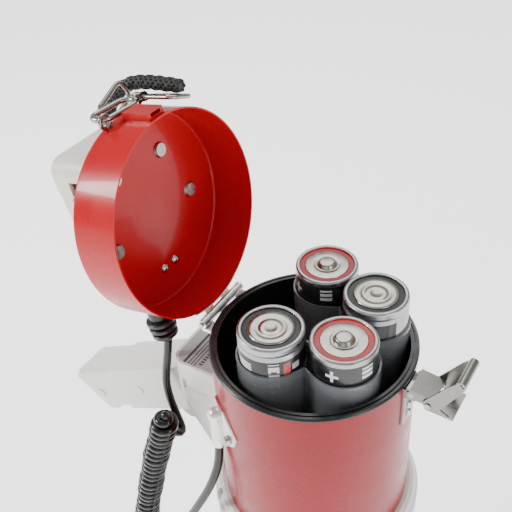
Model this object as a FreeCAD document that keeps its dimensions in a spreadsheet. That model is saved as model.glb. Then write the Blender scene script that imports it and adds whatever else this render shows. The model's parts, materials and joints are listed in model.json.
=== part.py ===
import FreeCAD, Part
import math
import os
from FreeCAD import Placement, Rotation, Vector
import Sketcher

# A hand megaphone with eight D cells.  It stands on the mouth of its horn and the battery
# lid is open.  +Z is up, along the barrel.  The origin is the middle of the horn's mouth.
# The hinge and the pistol grip are on the -X side, and the draw latch is on the +X side.

doc = FreeCAD.newDocument("Megaphone")
sheet = doc.addObject("Spreadsheet::Sheet", "Sizes")
pieces = []
cell_row = [0]


# ---------------------------------------------------------------- sizes and formulas

class Size:
    """A length with the sheet formula that gives it, so that a piece can be bound to it."""

    def __init__(self, text, value):
        self.text = text
        self.value = value

    def join(self, sign, other, value):
        return Size("(" + self.text + sign + as_size(other).text + ")", value)

    def __add__(self, other):
        return self.join(" + ", other, self.value + as_size(other).value)

    def __sub__(self, other):
        return self.join(" - ", other, self.value - as_size(other).value)

    def __mul__(self, other):
        return self.join(" * ", other, self.value * as_size(other).value)

    def __truediv__(self, other):
        return self.join(" / ", other, self.value / as_size(other).value)

    def __neg__(self):
        return Size("(0 - " + self.text + ")", -self.value)


def as_size(number):
    if isinstance(number, Size):
        return number
    return Size("(" + repr(float(number)) + ")", float(number))


def named(alias, number):
    """Write a driving size into the sheet under its alias."""
    cell_row[0] += 1
    sheet.set("A" + str(cell_row[0]), alias)
    sheet.set("B" + str(cell_row[0]), repr(float(number)))
    sheet.setAlias("B" + str(cell_row[0]), alias)
    return Size("Sizes." + alias, float(number))


running_gap = named("running_gap", 0.15)
seat_gap = named("seat_gap", 0.05)

# barrel and battery compartment
rim_height = named("rim_height", 320)
barrel_radius = named("barrel_radius", 53.7)
barrel_wall = named("barrel_wall", 0.9)
barrel_length = named("barrel_length", 116)
liner_wall = named("liner_wall", 1.2)
rim_overhang = named("rim_overhang", 0.7)
rim_thickness = named("rim_thickness", 1.6)
rim_width = named("rim_width", 4.4)
floor_thickness = named("floor_thickness", 2.0)
spring_height = named("spring_height", 6.0)

# D cells and their sleeve
cell_radius = named("cell_radius", 16.8)
cell_length = named("cell_length", 61.5)
nipple_rise = named("nipple_rise", 1.6)
nipple_radius = named("nipple_radius", 4.7)
cell_proud = named("cell_proud", 25.4)
ring_radius = named("ring_radius", 30.2)
ring_shift_x = named("ring_shift_x", 0.6)
ring_shift_y = named("ring_shift_y", 3.0)
sleeve_gap = named("sleeve_gap", 0.5)
sleeve_wall = named("sleeve_wall", 1.0)
sleeve_proud = named("sleeve_proud", 9.0)
valley_reach = named("valley_reach", 7.0)

# lid
lid_radius = named("lid_radius", 54.5)
lid_wall = named("lid_wall", 0.9)
lid_depth = named("lid_depth", 28.0)
lid_seat_gap = named("lid_seat_gap", 0.3)
lid_open_angle = named("lid_open_angle", 101.35)
hinge_reach = named("hinge_reach", 57.95)
hinge_drop = named("hinge_drop", 1.3)
hinge_pin_radius = named("hinge_pin_radius", 1.25)
knuckle_radius = named("knuckle_radius", 2.6)
knuckle_width = named("knuckle_width", 7.2)
leaf_thickness = named("leaf_thickness", 0.9)
leaf_length = named("leaf_length", 14.0)
contact_radius = named("contact_radius", 4.4)
contact_rise = named("contact_rise", 1.4)
contact_ring = named("contact_ring", 32.0)
keeper_width = named("keeper_width", 11.0)
keeper_length = named("keeper_length", 17.0)
keeper_rise = named("keeper_rise", 3.6)

# microphone and control housing on the back of the lid
housing_width = named("housing_width", 60.0)
housing_depth = named("housing_depth", 28.0)
housing_top = named("housing_top", 41.5)
housing_bottom = named("housing_bottom", -50.0)
housing_taper = named("housing_taper", 7.0)
housing_wall = named("housing_wall", 2.2)
housing_corner = named("housing_corner", 8.0)
wheel_radius = named("wheel_radius", 9.0)
wheel_thickness = named("wheel_thickness", 4.0)
switch_travel = named("switch_travel", 6.0)
relief_radius = named("relief_radius", 8.6)
relief_length = named("relief_length", 29.3)
relief_side = named("relief_side", -14.0)
relief_depth = named("relief_depth", 34.5)

# horn
mouth_radius = named("mouth_radius", 110.0)
horn_wall = named("horn_wall", 2.5)
throat_radius = named("throat_radius", 58.5)
flange_height = named("flange_height", 22.0)
collar_height = named("collar_height", 8.0)
web_thickness = named("web_thickness", 4.0)
flange_radius = named("flange_radius", 61.0)
guard_height = named("guard_height", 12.0)
guard_thickness = named("guard_thickness", 3.5)
cup_radius = named("cup_radius", 48.0)
cup_front = named("cup_front", 34.0)
cup_rim = named("cup_rim", 138.0)
driver_radius = named("driver_radius", 38.0)
driver_height = named("driver_height", 26.0)
back_plate_height = named("back_plate_height", 166.0)

# handle
bracket_half_width = named("bracket_half_width", 18.0)
bracket_reach = named("bracket_reach", 86.5)
bracket_top_drop = named("bracket_top_drop", 41.0)
bracket_wall = named("bracket_wall", 2.5)
bracket_corner = named("bracket_corner", 9.0)
recess_depth = named("recess_depth", 1.3)
grip_angle = named("grip_angle", 28.4)
grip_half_width = named("grip_half_width", 15.0)
grip_half_depth = named("grip_half_depth", 16.5)
grip_length = named("grip_length", 103.0)
grip_rounding = named("grip_rounding", 4.0)
grip_wall = named("grip_wall", 2.4)
trigger_width = named("trigger_width", 12.0)
trigger_travel = named("trigger_travel", 4.0)

# latch
latch_half_width = named("latch_half_width", 9.0)
latch_sheet = named("latch_sheet", 1.0)
latch_pin_radius = named("latch_pin_radius", 1.6)

# cord
cord_radius = named("cord_radius", 2.5)
curl_radius = named("curl_radius", 8.4)
strap_radius = named("strap_radius", 3.2)

# sizes that follow from the ones above
barrel_bottom = rim_height - barrel_length
ring_bottom = rim_height - rim_thickness
barrel_bore = barrel_radius - barrel_wall
liner_outer = barrel_bore - seat_gap
liner_bore = liner_outer - liner_wall
rim_outer = barrel_radius + rim_overhang
rim_bore = rim_outer - rim_width
cell_top = rim_height + cell_proud
cell_bottom = cell_top - cell_length * 2
floor_top = cell_bottom - spring_height
floor_bottom = floor_top - floor_thickness
lid_base = rim_height + lid_seat_gap
lid_back = rim_height + lid_depth
hinge_height = rim_height - hinge_drop
lid_inside = lid_back - lid_wall

HINGE = Vector(-hinge_reach.value, 0, hinge_height.value)
OPEN = Placement(Vector(), Rotation(Vector(0, 1, 0), -lid_open_angle.value), HINGE)


# ---------------------------------------------------------------- building helpers

def place(item, at, turn):
    """Bind the three coordinates of an object's place, and turn it about an axis."""
    if turn:
        item.Placement = Placement(Vector(), Rotation(turn[0], turn[1]))
    for axis, where in zip("xyz", at):
        item.setExpression("Placement.Base." + axis, as_size(where).text)
    return item


def cylinder(name, radius, height, at=(0, 0, 0), turn=None):
    item = doc.addObject("Part::Cylinder", name)
    item.setExpression("Radius", as_size(radius).text)
    item.setExpression("Height", as_size(height).text)
    return place(item, at, turn)


def cut(name, base, *tools):
    for number, tool in enumerate(tools):
        last = number == len(tools) - 1
        item = doc.addObject("Part::Cut", name if last else name + "_step" + str(number))
        item.Base = base
        item.Tool = tool
        base = item
    return base


def piece(item, label, on_lid=False):
    """Register a sub-part under its label; a lid piece is turned open about the hinge."""
    item.Label = label
    if on_lid:
        item.Placement = OPEN.multiply(item.Placement)
    pieces.append(item)
    return item


def shaped(label, shape, on_lid=False):
    item = doc.addObject("Part::Feature", label)
    item.Shape = shape
    return piece(item, label, on_lid)


def plane_of(body, role):
    for feature in body.Origin.OriginFeatures:
        if feature.Role == role:
            return feature
    raise ValueError(role)


def closed_sketch(body, role, points):
    """A closed outline whose corners are each tied to the origin by two bound distances."""
    sketch = body.newObject("Sketcher::SketchObject", body.Name + "Sketch")
    sketch.AttachmentSupport = [(plane_of(body, role), "")]
    sketch.MapMode = "FlatFace"
    corners = [(as_size(a), as_size(b)) for a, b in points]
    for number, start in enumerate(corners):
        end = corners[(number + 1) % len(corners)]
        first = Vector(start[0].value, start[1].value, 0)
        last = Vector(end[0].value, end[1].value, 0)
        sketch.addGeometry(Part.LineSegment(first, last), False)
    for number in range(len(corners)):
        after = (number + 1) % len(corners)
        sketch.addConstraint(Sketcher.Constraint("Coincident", number, 2, after, 1))
    for number, corner in enumerate(corners):
        for kind, length in zip(("DistanceX", "DistanceY"), corner):
            index = sketch.addConstraint(
                Sketcher.Constraint(kind, -1, 1, number, 1, length.value))
            sketch.setExpression("Constraints[" + str(index) + "]", length.text)
    return sketch


def revolved(name, points):
    """A PartDesign body turned about Z from an outline of (radius, height) corners."""
    body = doc.addObject("PartDesign::Body", name)
    sketch = closed_sketch(body, "XZ_Plane", points)
    turn = body.newObject("PartDesign::Revolution", name + "Turn")
    turn.Profile = sketch
    turn.ReferenceAxis = (sketch, ["V_Axis"])
    turn.Angle = 360
    body.Tip = turn
    return body


def tube(name, outer, inner, bottom, height):
    """A plain ring or tube about Z."""
    wall = cylinder(name + "_wall", outer, height, (0, 0, bottom))
    bore = cylinder(name + "_bore", inner, height + 2, (0, 0, bottom - 1))
    return cut(name, wall, bore)


def polar(radius, degrees, height=0.0):
    angle = math.radians(degrees)
    return Vector(radius * math.cos(angle), radius * math.sin(angle), height)


# ---------------------------------------------------------------- barrel

shell_height = barrel_length - rim_thickness
barrel_tube = tube("BarrelTube", barrel_radius, barrel_bore, barrel_bottom, shell_height)
piece(tube("BarrelLiner", liner_outer, liner_bore, floor_bottom, ring_bottom - floor_bottom),
      "barrel_liner")

rim_edge = named("rim_edge", 0.8)
groove_width = named("groove_width", 0.9)
piece(revolved("RimRing", [
    (rim_bore, ring_bottom),
    (rim_outer, ring_bottom),
    (rim_outer, rim_height - rim_edge),
    (rim_outer - rim_edge, rim_height),
    (rim_outer - rim_edge - 1.2, rim_height),
    (rim_outer - rim_edge - 1.2, rim_height - rim_edge),
    (rim_outer - rim_edge - 1.2 - groove_width, rim_height - rim_edge),
    (rim_outer - rim_edge - 1.2 - groove_width, rim_height),
    (rim_bore, rim_height)]), "rim_ring")

floor_plate = cylinder("FloorPlate", liner_bore - seat_gap, floor_thickness, (0, 0, floor_bottom))
wire_hole = cylinder("WireHole", 4, floor_thickness + 2,
                     (-ring_radius, 0, floor_bottom - 1))
piece(cut("BatteryFloor", floor_plate, wire_hole), "battery_floor")


# ---------------------------------------------------------------- D cells

# Four columns stand at five-sided places round the axis; the fifth place, beside the
# hinge, stays empty for the wires.  The current goes up one column and down the next.
COLUMN_ANGLES = {"a": 108, "b": 36, "c": -36, "d": -108}
PLUS_UP = {"a": True, "b": False, "c": True, "d": False}


def column_middle(column):
    spot = polar(ring_radius.value, COLUMN_ANGLES[column])
    return spot + Vector(ring_shift_x.value, ring_shift_y.value, 0)


crimp = named("crimp", 1.0)
seal_inner = named("seal_inner", 11.6)
seal_outer = named("seal_outer", 14.4)


def cell_outline():
    """Half section of a D cell with its nipple at the top."""
    shoulder = cell_length - nipple_rise
    return [(0, 0),
            (seal_inner, 0),
            (seal_inner, crimp * 0.6),
            (seal_outer, crimp * 0.6),
            (seal_outer, 0),
            (cell_radius - crimp * 0.6, 0),
            (cell_radius, crimp),
            (cell_radius, shoulder - crimp),
            (cell_radius - crimp * 0.6, shoulder),
            (seal_outer, shoulder),
            (seal_outer, shoulder - crimp * 0.6),
            (seal_inner, shoulder - crimp * 0.6),
            (nipple_radius + 1, shoulder - crimp * 0.3),
            (nipple_radius, cell_length),
            (0, cell_length)]


def cell(column, level):
    name = "cell_" + column + "_" + level
    body = revolved("Cell" + column.upper() + level.title(), cell_outline())
    spot = column_middle(column)
    base = cell_bottom if level == "lower" else cell_bottom + cell_length
    if PLUS_UP[column]:
        body.Placement = Placement(Vector(spot.x, spot.y, base.value), Rotation())
    else:
        top = base.value + cell_length.value
        body.Placement = Placement(Vector(spot.x, spot.y, top), Rotation(Vector(1, 0, 0), 180))
    piece(body, name)


for column_name in COLUMN_ANGLES:
    for level_name in ("lower", "upper"):
        cell(column_name, level_name)


def solid_column(radius, bottom, top):
    """The four columns at one radius, as one shape."""
    shapes = []
    for column in COLUMN_ANGLES:
        spot = column_middle(column)
        shapes.append(Part.makeCylinder(radius, top - bottom, Vector(spot.x, spot.y, bottom)))
    joined = shapes[0]
    for shape in shapes[1:]:
        joined = joined.fuse(shape)
    return joined


def valley_fill(radius, bottom, top):
    """Wedges that bridge each pair of neighbours, so the sheet only dips a little there."""
    names = list(COLUMN_ANGLES)
    wedges = None
    for first, second in zip(names, names[1:]):
        near = column_middle(first)
        far = column_middle(second)
        middle = (near + far) * 0.5
        out = (far - near).cross(Vector(0, 0, 1)).normalize()
        dip = valley_reach.value - cell_radius.value + radius
        lean = math.degrees(math.acos(radius / math.hypot((far - near).Length / 2, dip)))
        for side in (-1, 1):
            low = middle + out * side * dip
            corners = [near, low, far]
            for spot in (far, near):
                ray = low - spot
                turned = [Rotation(Vector(0, 0, 1), degrees).multVec(ray) for degrees in (lean, -lean)]
                touch = max(turned, key=lambda arrow: arrow.dot(out) * side)
                place_at = spot + touch.normalize() * radius
                corners.insert(2 if spot == far else 1, place_at)
            flat = [Vector(corner.x, corner.y, bottom) for corner in corners]
            wedge = Part.Face(Part.makePolygon(flat + flat[:1])).extrude(Vector(0, 0, top - bottom))
            wedges = wedge if wedges is None else wedges.fuse(wedge)
    return wedges


def battery_sleeve():
    """The plastic sleeve: a thin wall round the four columns, open at the top."""
    inner = cell_radius.value + sleeve_gap.value
    outer = inner + sleeve_wall.value
    top = rim_height.value + sleeve_proud.value
    low = floor_top.value
    wall = solid_column(outer, low, top).fuse(valley_fill(outer, low, top))
    hollow = solid_column(inner, low - 1, top + 1).fuse(valley_fill(inner, low - 1, top + 1))
    limit = Part.makeCylinder(rim_bore.value - seat_gap.value, top, Vector(0, 0, 0))
    return wall.cut(hollow).common(limit)


def contact_springs():
    """Four cone springs on the floor, each three turns joined by a slanting leg."""
    wire = 0.6
    turns = ((8.4, wire), (6.6, 2.3), (4.8, 4.0), (3.0, spring_height.value - wire - 0.05))
    coils = []
    for column in COLUMN_ANGLES:
        spot = column_middle(column)
        base = Vector(spot.x, spot.y, floor_top.value)
        coil = None
        for radius, rise in turns:
            ring = Part.makeTorus(radius, wire, base + Vector(0, 0, rise))
            coil = ring if coil is None else coil.fuse(ring)
        start = base + Vector(turns[0][0], 0, turns[0][1])
        end = base + Vector(turns[-1][0], 0, turns[-1][1])
        leg = Part.makeCylinder(wire * 0.8, (end - start).Length, start, end - start)
        coils.append(coil.fuse(leg))
    return Part.makeCompound(coils)


shaped("battery_sleeve", battery_sleeve())
shaped("contact_springs", contact_springs())


# ---------------------------------------------------------------- horn

flange_top = barrel_bottom + collar_height
flange_bottom = flange_top - flange_height
web_top = barrel_bottom - seat_gap
web_bottom = web_top - web_thickness
bell_top = web_bottom - seat_gap
collar_bore = barrel_radius + seat_gap
collar_outer = barrel_radius + 2.4
screw_height = barrel_bottom + collar_height / 2
screw_radius = named("screw_radius", 1.5)
screw_angles = (45, 135, 225, 315)

collar_body = revolved("HornCollar", [
    (collar_bore, flange_top),
    (collar_outer, flange_top),
    (collar_outer + 2.2, flange_top - 1.6),
    (flange_radius - 1.5, flange_top - 4),
    (flange_radius, flange_top - 6),
    (flange_radius, flange_bottom),
    (throat_radius + seat_gap + 0.6, flange_bottom),
    (throat_radius + seat_gap, web_bottom),
    (barrel_bore - 3, web_bottom),
    (barrel_bore - 3, web_top),
    (collar_bore, web_top)])


head_seat = flange_radius - 4.0
head_radius = screw_radius * 1.9


def screw_hole_tool(name):
    """Four radial holes, each with a wider seat for its screw's head."""
    holes = None
    for degrees in screw_angles:
        start = polar(barrel_bore.value - 1.5, degrees, screw_height.value)
        seat = polar(head_seat.value, degrees, screw_height.value)
        hole = Part.makeCylinder(screw_radius.value + seat_gap.value, 20, start, polar(1, degrees))
        wide = Part.makeCylinder(head_radius.value + 0.3, 10, seat, polar(1, degrees))
        hole = hole.fuse(wide)
        holes = hole if holes is None else holes.fuse(hole)
    tool = doc.addObject("Part::Feature", name)
    tool.Shape = holes
    return tool


def barrel_screws():
    screws = []
    for degrees in screw_angles:
        start = polar(barrel_bore.value - 1.2, degrees, screw_height.value)
        seat = polar(head_seat.value + seat_gap.value, degrees, screw_height.value)
        shank = Part.makeCylinder(screw_radius.value, (seat - start).Length, start,
                                  polar(1, degrees))
        head = Part.makeCylinder(head_radius.value, 1.6, seat, polar(1, degrees))
        screws.append(shank.fuse(head))
    return Part.makeCompound(screws)


piece(cut("HornFlange", collar_body, screw_hole_tool("CollarHoles")), "horn_flange")
piece(cut("BarrelShell", barrel_tube, screw_hole_tool("BarrelHoles")), "barrel_shell")
shaped("barrel_screws", barrel_screws())


mouth_level = named("mouth_level", 3.2)


def bell_radius(height):
    """Outer radius of the bell: an exponential flare from the throat to the mouth."""
    top = bell_top.value
    share = (top - height) / (top - mouth_level.value)
    growth = mouth_radius.value / throat_radius.value
    return throat_radius.value * growth ** (share ** 1.6)


def horn_bell():
    """The bell and the plate that closes its back, turned from one outline."""
    top = bell_top.value
    steps = 12
    low = mouth_level.value
    levels = [low + (top - low) * number / steps for number in range(steps + 1)]
    outer = [Vector(bell_radius(level), 0, level) for level in levels]
    inner = [point - Vector(horn_wall.value, 0, 0) for point in outer]
    plate_top = back_plate_height.value + horn_wall.value
    below = [point for point in inner if point.z < back_plate_height.value - 5]
    above = [point for point in inner if point.z > plate_top + 5]
    bore = 12.5
    corner_low = Vector(bell_radius(back_plate_height.value) - horn_wall.value, 0,
                        back_plate_height.value)
    corner_high = Vector(bell_radius(plate_top) - horn_wall.value, 0, plate_top)
    edges = []

    def curve(points):
        spline = Part.BSplineCurve()
        spline.interpolate(points)
        edges.append(spline.toShape())

    def line(start, end):
        edges.append(Part.makeLine(start, end))

    curve(outer)
    line(outer[-1], inner[-1])
    curve([inner[-1]] + above[-2::-1] + [corner_high])
    line(corner_high, Vector(bore, 0, plate_top))
    line(Vector(bore, 0, plate_top), Vector(bore, 0, back_plate_height.value))
    line(Vector(bore, 0, back_plate_height.value), corner_low)
    curve([corner_low] + below[::-1])
    line(inner[0], outer[0])
    face = Part.Face(Part.Wire(edges))
    return face.revolve(Vector(), Vector(0, 0, 1), 360)


shaped("horn_bell", horn_bell())

guard_inner = mouth_radius - horn_wall - guard_thickness
piece(revolved("MouthGuard", [
    (guard_inner, 0),
    (mouth_radius + guard_thickness, 0),
    (mouth_radius + guard_thickness, guard_height - 1.5),
    (mouth_radius + guard_thickness - 1.5, guard_height),
    (mouth_radius + seat_gap, guard_height),
    (mouth_radius + seat_gap, mouth_level - seat_gap),
    (guard_inner, mouth_level - seat_gap)]), "mouth_guard")

# The inner horn carries the sound forward from the driver to the cup, which turns it back.
inner_throat = named("inner_throat", 10.0)
inner_mouth = named("inner_mouth", 34.0)
inner_front = named("inner_front", 64.0)
inner_wall = named("inner_wall", 2.0)
inner_top = back_plate_height - seat_gap
piece(revolved("InnerHorn", [
    (inner_throat, inner_top),
    (inner_throat, inner_top - 20),
    (inner_throat + 6, inner_top - 60),
    (inner_mouth, inner_front),
    (inner_mouth + inner_wall, inner_front),
    (inner_throat + 6 + inner_wall, inner_top - 59),
    (inner_throat + inner_wall, inner_top - 20),
    (inner_throat + inner_wall, inner_top - 3),
    (inner_throat + 10, inner_top - 3),
    (inner_throat + 10, inner_top)]), "inner_horn")


def reflex_cup():
    """The cup in the middle of the mouth with the three legs that hold it to the bell."""
    radius = cup_radius.value
    front = cup_front.value
    wall = inner_wall.value
    rim = cup_rim.value
    outline = [Vector(0, 0, front), Vector(radius * 0.45, 0, front + 3),
               Vector(radius * 0.85, 0, front + 16), Vector(radius, 0, front + 38),
               Vector(radius, 0, rim), Vector(radius - wall, 0, rim),
               Vector(radius - wall, 0, front + 38), Vector(radius * 0.85 - wall, 0, front + 18),
               Vector(radius * 0.42, 0, front + 6), Vector(0, 0, front + 3), Vector(0, 0, front)]
    cup = Part.Face(Part.makePolygon(outline)).revolve(Vector(), Vector(0, 0, 1), 360)
    level = cup_rim.value - 30
    reach = bell_radius(level + 8) - horn_wall.value - seat_gap.value
    for leg in range(3):
        strut = Part.makeBox(reach - radius + 1, 4, 16, Vector(radius - 1, -2, level - 8))
        strut = strut.common(Part.makeCylinder(reach, 40, Vector(0, 0, level - 20)))
        strut.rotate(Vector(), Vector(0, 0, 1), 60 + leg * 120)
        cup = cup.fuse(strut)
    return cup


shaped("reflex_cup", reflex_cup())

driver_base = back_plate_height + horn_wall + seat_gap
magnet_base = driver_base + 8
magnet_height = driver_height - 8
piece(revolved("DriverMagnet", [
    (0, magnet_base + 6), (12, magnet_base + 6), (12, magnet_base),
    (driver_radius, magnet_base), (driver_radius, magnet_base + magnet_height),
    (0, magnet_base + magnet_height)]), "driver_magnet")
piece(revolved("DriverDiaphragm", [
    (0, driver_base + 3), (11, driver_base + 1), (14, driver_base + 3), (24, driver_base),
    (driver_radius, driver_base), (driver_radius, driver_base + 3), (24, driver_base + 3),
    (14, driver_base + 6), (11, driver_base + 4), (0, driver_base + 5)]), "driver_diaphragm")


# ---------------------------------------------------------------- handle

def on_barrel(shape, gap):
    """Cut a fitting so that it sits on the barrel with a small gap."""
    barrel = Part.makeCylinder(barrel_radius.value + gap, 2 * rim_height.value)
    return shape.cut(barrel)


def prism(points, half_width):
    """A solid from an outline of (x, z) points, padded both ways along Y."""
    corners = [Vector(x, -half_width, z) for x, z in points]
    face = Part.Face(Part.makePolygon(corners + corners[:1]))
    return face.extrude(Vector(0, 2 * half_width, 0))


bracket_top = rim_height - bracket_top_drop
bracket_low = barrel_bottom + collar_height + 2.0
bracket_face_low = bracket_top - 22
BRACKET_OUTLINE = [
    (-bracket_reach.value, bracket_top.value),
    (-45.0, bracket_top.value),
    (-45.0, bracket_low.value),
    (-62.0, bracket_low.value),
    (-bracket_reach.value, bracket_face_low.value)]
GRIP_ROOT = Vector(-bracket_reach.value + 1, 0, bracket_top.value - 29.5)
GRIP_TURN = Rotation(Vector(0, 1, 0), -grip_angle.value)
GRIP_PLACE = Placement(GRIP_ROOT, GRIP_TURN)
panel_thickness = named("panel_thickness", 1.4)
panel_margin = named("panel_margin", 1.7)


def grip_point(along, across, side=0.0):
    """A point of the grip: along it from the bracket, across it towards the rear, sideways."""
    return GRIP_PLACE.multVec(Vector(-along, side, across))


def grip_prism(points, near, far):
    corners = [grip_point(along, across, near) for along, across in points]
    face = Part.Face(Part.makePolygon(corners + corners[:1]))
    return face.extrude(Vector(0, far - near, 0))


depth = grip_half_depth.value
GRIP_OUTLINE = [(0, depth), (grip_length.value - 6, depth), (grip_length.value, depth - 4),
                (grip_length.value - 16, -depth - 1.5), (grip_length.value - 24, -depth - 1.5),
                (grip_length.value - 30, -depth + 1), (28, -depth + 1), (0, -depth + 1)]
wall = grip_wall.value
GRIP_HOLLOW = [(-14, depth - wall), (grip_length.value - 9, depth - wall),
               (grip_length.value - 19, -depth + wall + 1), (-14, -depth + wall + 1)]
TRIGGER_SLOT = [(9, -depth - 3), (9, -depth + 12), (25, -depth + 12), (25, -depth - 3)]


def rounded_ends(shape, x, radius):
    """Round the upright edges that stand at one x."""
    edges = [edge for edge in shape.Edges
             if all(abs(end.X - x) < 0.01 for end in edge.Vertexes)
             and abs(edge.Vertexes[0].Y - edge.Vertexes[1].Y) < 0.01]
    return shape.makeFillet(radius, edges)


def panel_block(gap, thickness):
    """The panel's plate, smaller all round by the gap, with its outer corners rounded."""
    margin = panel_margin.value + gap
    half = bracket_half_width.value - margin
    block = Part.makeBox(bracket_reach.value - margin - 50, 2 * half, thickness,
                         Vector(-bracket_reach.value + margin, -half,
                                bracket_top.value - panel_thickness.value + gap))
    return rounded_ends(block, -bracket_reach.value + margin, bracket_corner.value - margin)


def handle_bracket():
    """The moulded bracket: an open-backed box whose back follows the barrel."""
    solid = rounded_ends(prism(BRACKET_OUTLINE, bracket_half_width.value),
                         -bracket_reach.value, bracket_corner.value)
    inset = bracket_wall.value
    hollow = prism([
        (-bracket_reach.value + inset, bracket_top.value - inset),
        (-45.0, bracket_top.value - inset),
        (-45.0, bracket_low.value + 8),
        (-64.0, bracket_low.value + 8),
        (-bracket_reach.value + inset, bracket_face_low.value + 1)],
        bracket_half_width.value - inset)
    clear = seat_gap.value
    grip_block = grip_prism([(-14, depth + clear), (60, depth + clear),
                             (60, -depth + 1 - clear), (-14, -depth + 1 - clear)],
                            -grip_half_width.value - clear, grip_half_width.value + clear)
    panel = panel_block(0.0, panel_thickness.value + 1)
    recess = Part.makeBox(17, recess_depth.value, 8,
                          Vector(-79, -bracket_half_width.value, bracket_top.value - 21))
    collar = Part.makeCylinder(flange_radius.value + 0.5, flange_height.value + 0.5,
                               Vector(0, 0, flange_bottom.value))
    body = solid.cut(hollow).cut(grip_block).cut(panel).cut(collar).cut(recess)
    return on_barrel(body, seat_gap.value)


def bracket_panel():
    gap = seat_gap.value
    return on_barrel(panel_block(gap, panel_thickness.value - gap), 2 * gap)


def grip_shell(side):
    """One half of the grip, hollow, with the trigger's slot."""
    gap = seat_gap.value
    near, far = (-grip_half_width.value, -gap / 2) if side < 0 else (gap / 2, grip_half_width.value)
    block = grip_prism(GRIP_OUTLINE, near, far)
    flank = side * grip_half_width.value
    edges = [edge for edge in block.Edges
             if all(abs(end.Y - flank) < 0.01 for end in edge.Vertexes)
             and max(edge.Vertexes[0].X, edge.Vertexes[1].X) < GRIP_ROOT.x - 1]
    block = block.makeFillet(grip_rounding.value, edges)
    hollow = grip_prism(GRIP_HOLLOW, -grip_half_width.value + wall, grip_half_width.value - wall)
    slot_half = trigger_width.value / 2 + running_gap.value
    slot = grip_prism(TRIGGER_SLOT, -slot_half, slot_half)
    block = block.cut(hollow).cut(slot).cut(grip_screw_shape(seat_gap.value))
    sleeve = grip_prism([(-14, depth), (60, depth), (60, -depth + 1), (-14, -depth + 1)],
                        near, far)
    inside = sleeve.cut(hollow).cut(slot).cut(grip_screw_shape(gap))
    joined = block.fuse(inside)
    return on_barrel(joined, 6.0).removeSplitter()


GRIP_SCREWS = ((40, 0), (grip_length.value - 20, -2))


def grip_screw_shape(clearance):
    """The screws that close the grip, heads on the -Y side, with posts' clearance."""
    shapes = None
    for along, across in GRIP_SCREWS:
        head_at = grip_point(along, across, -grip_half_width.value - 0.5)
        inner_at = grip_point(along, across, -grip_half_width.value + 1.2)
        head = Part.makeCylinder(2.8 + clearance, 1.7, head_at, Vector(0, 1, 0))
        shank = Part.makeCylinder(1.3 + clearance, 2 * grip_half_width.value - 2.4,
                                  inner_at, Vector(0, 1, 0))
        screw = head.fuse(shank)
        shapes = screw if shapes is None else shapes.fuse(screw)
    return shapes


def trigger():
    """The finger trigger: a round-nosed block with a flange that stops it in its slot."""
    outline = [(10, -depth + 4), (10, -depth - 8), (11.5, -depth - 12), (15, -depth - 14),
               (19, -depth - 13.4), (22.5, -depth - 10), (24, -depth - 5), (24, -depth + 4)]
    half = trigger_width.value / 2
    nose = grip_prism(outline, -half, half)
    foot = grip_prism([(7, -depth + wall + 1.1), (27, -depth + wall + 1.1), (27, -depth + 6),
                       (7, -depth + 6)], -half, half)
    return nose.fuse(foot).removeSplitter()


def trigger_switch():
    """The push switch behind the trigger."""
    base = -depth + 6 + trigger_travel.value + 1.6
    block = grip_prism([(11, base), (23, base), (23, base + 8), (11, base + 8)], -5, 5)
    start = grip_point(17, base + 0.1)
    along = grip_point(17, base - 1.0) - grip_point(17, base)
    plunger = Part.makeCylinder(1.8, 1.4, start, along)
    return block.fuse(plunger)


def trigger_spring():
    """The spring that pushes the trigger out: three rings and a leg."""
    low = -depth + 6 + 0.1
    high = low + trigger_travel.value + 5
    axis = grip_point(8.5, 1) - grip_point(8.5, 0)
    shape = None
    for number in range(3):
        level = low + 0.5 + number * (high - low - 1.0) / 2
        ring = Part.makeTorus(1.6, 0.35, grip_point(8.6, level, 0), axis)
        shape = ring if shape is None else shape.fuse(ring)
    leg = Part.makeCylinder(0.3, high - low - 1.0, grip_point(8.6 - 1.6, low + 0.5), axis)
    return shape.fuse(leg)


def amplifier_board():
    """The amplifier's board with its two tall parts and its heat plate."""
    left = -bracket_reach.value + bracket_wall.value + 5
    top = bracket_top.value - bracket_wall.value - 2
    board = Part.makeBox(20, 28, 1.6, Vector(left, -14, top - 6))
    block = Part.makeBox(6, 8, 4, Vector(left + 3, -4, top - 4.4))
    can = Part.makeCylinder(3, 4, Vector(left + 15, 8, top - 4.4))
    return board.fuse(block).fuse(can)


shaped("handle_bracket", handle_bracket())
shaped("bracket_panel", bracket_panel())
shaped("grip_left", grip_shell(-1))
shaped("grip_right", grip_shell(1))
shaped("grip_screws", grip_screw_shape(0.0))
shaped("trigger", trigger())
shaped("trigger_switch", trigger_switch())
shaped("trigger_spring", trigger_spring())
shaped("amplifier_board", amplifier_board())


# ---------------------------------------------------------------- cable clamp

clamp_angle = -122.5
clamp_top = rim_height - 24.5
clamp_length = named("clamp_length", 32.0)
clamp_sheet = named("clamp_sheet", 1.2)
channel_length = named("channel_length", 22.0)
channel_side = -5.0
clamp_screw_side = 6.4
clamp_screw_levels = (13.6,)
CLAMP_OUTLINE = ((-9.6, 0), (-9.6, 32), (2.6, 32), (12.6, 18), (11.4, 13), (2.6, 5), (-1.6, 0))
channel_reach = barrel_radius + running_gap + cord_radius


def round_barrel(shape, degrees):
    return shape.rotated(Vector(), Vector(0, 0, 1), degrees)


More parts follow.
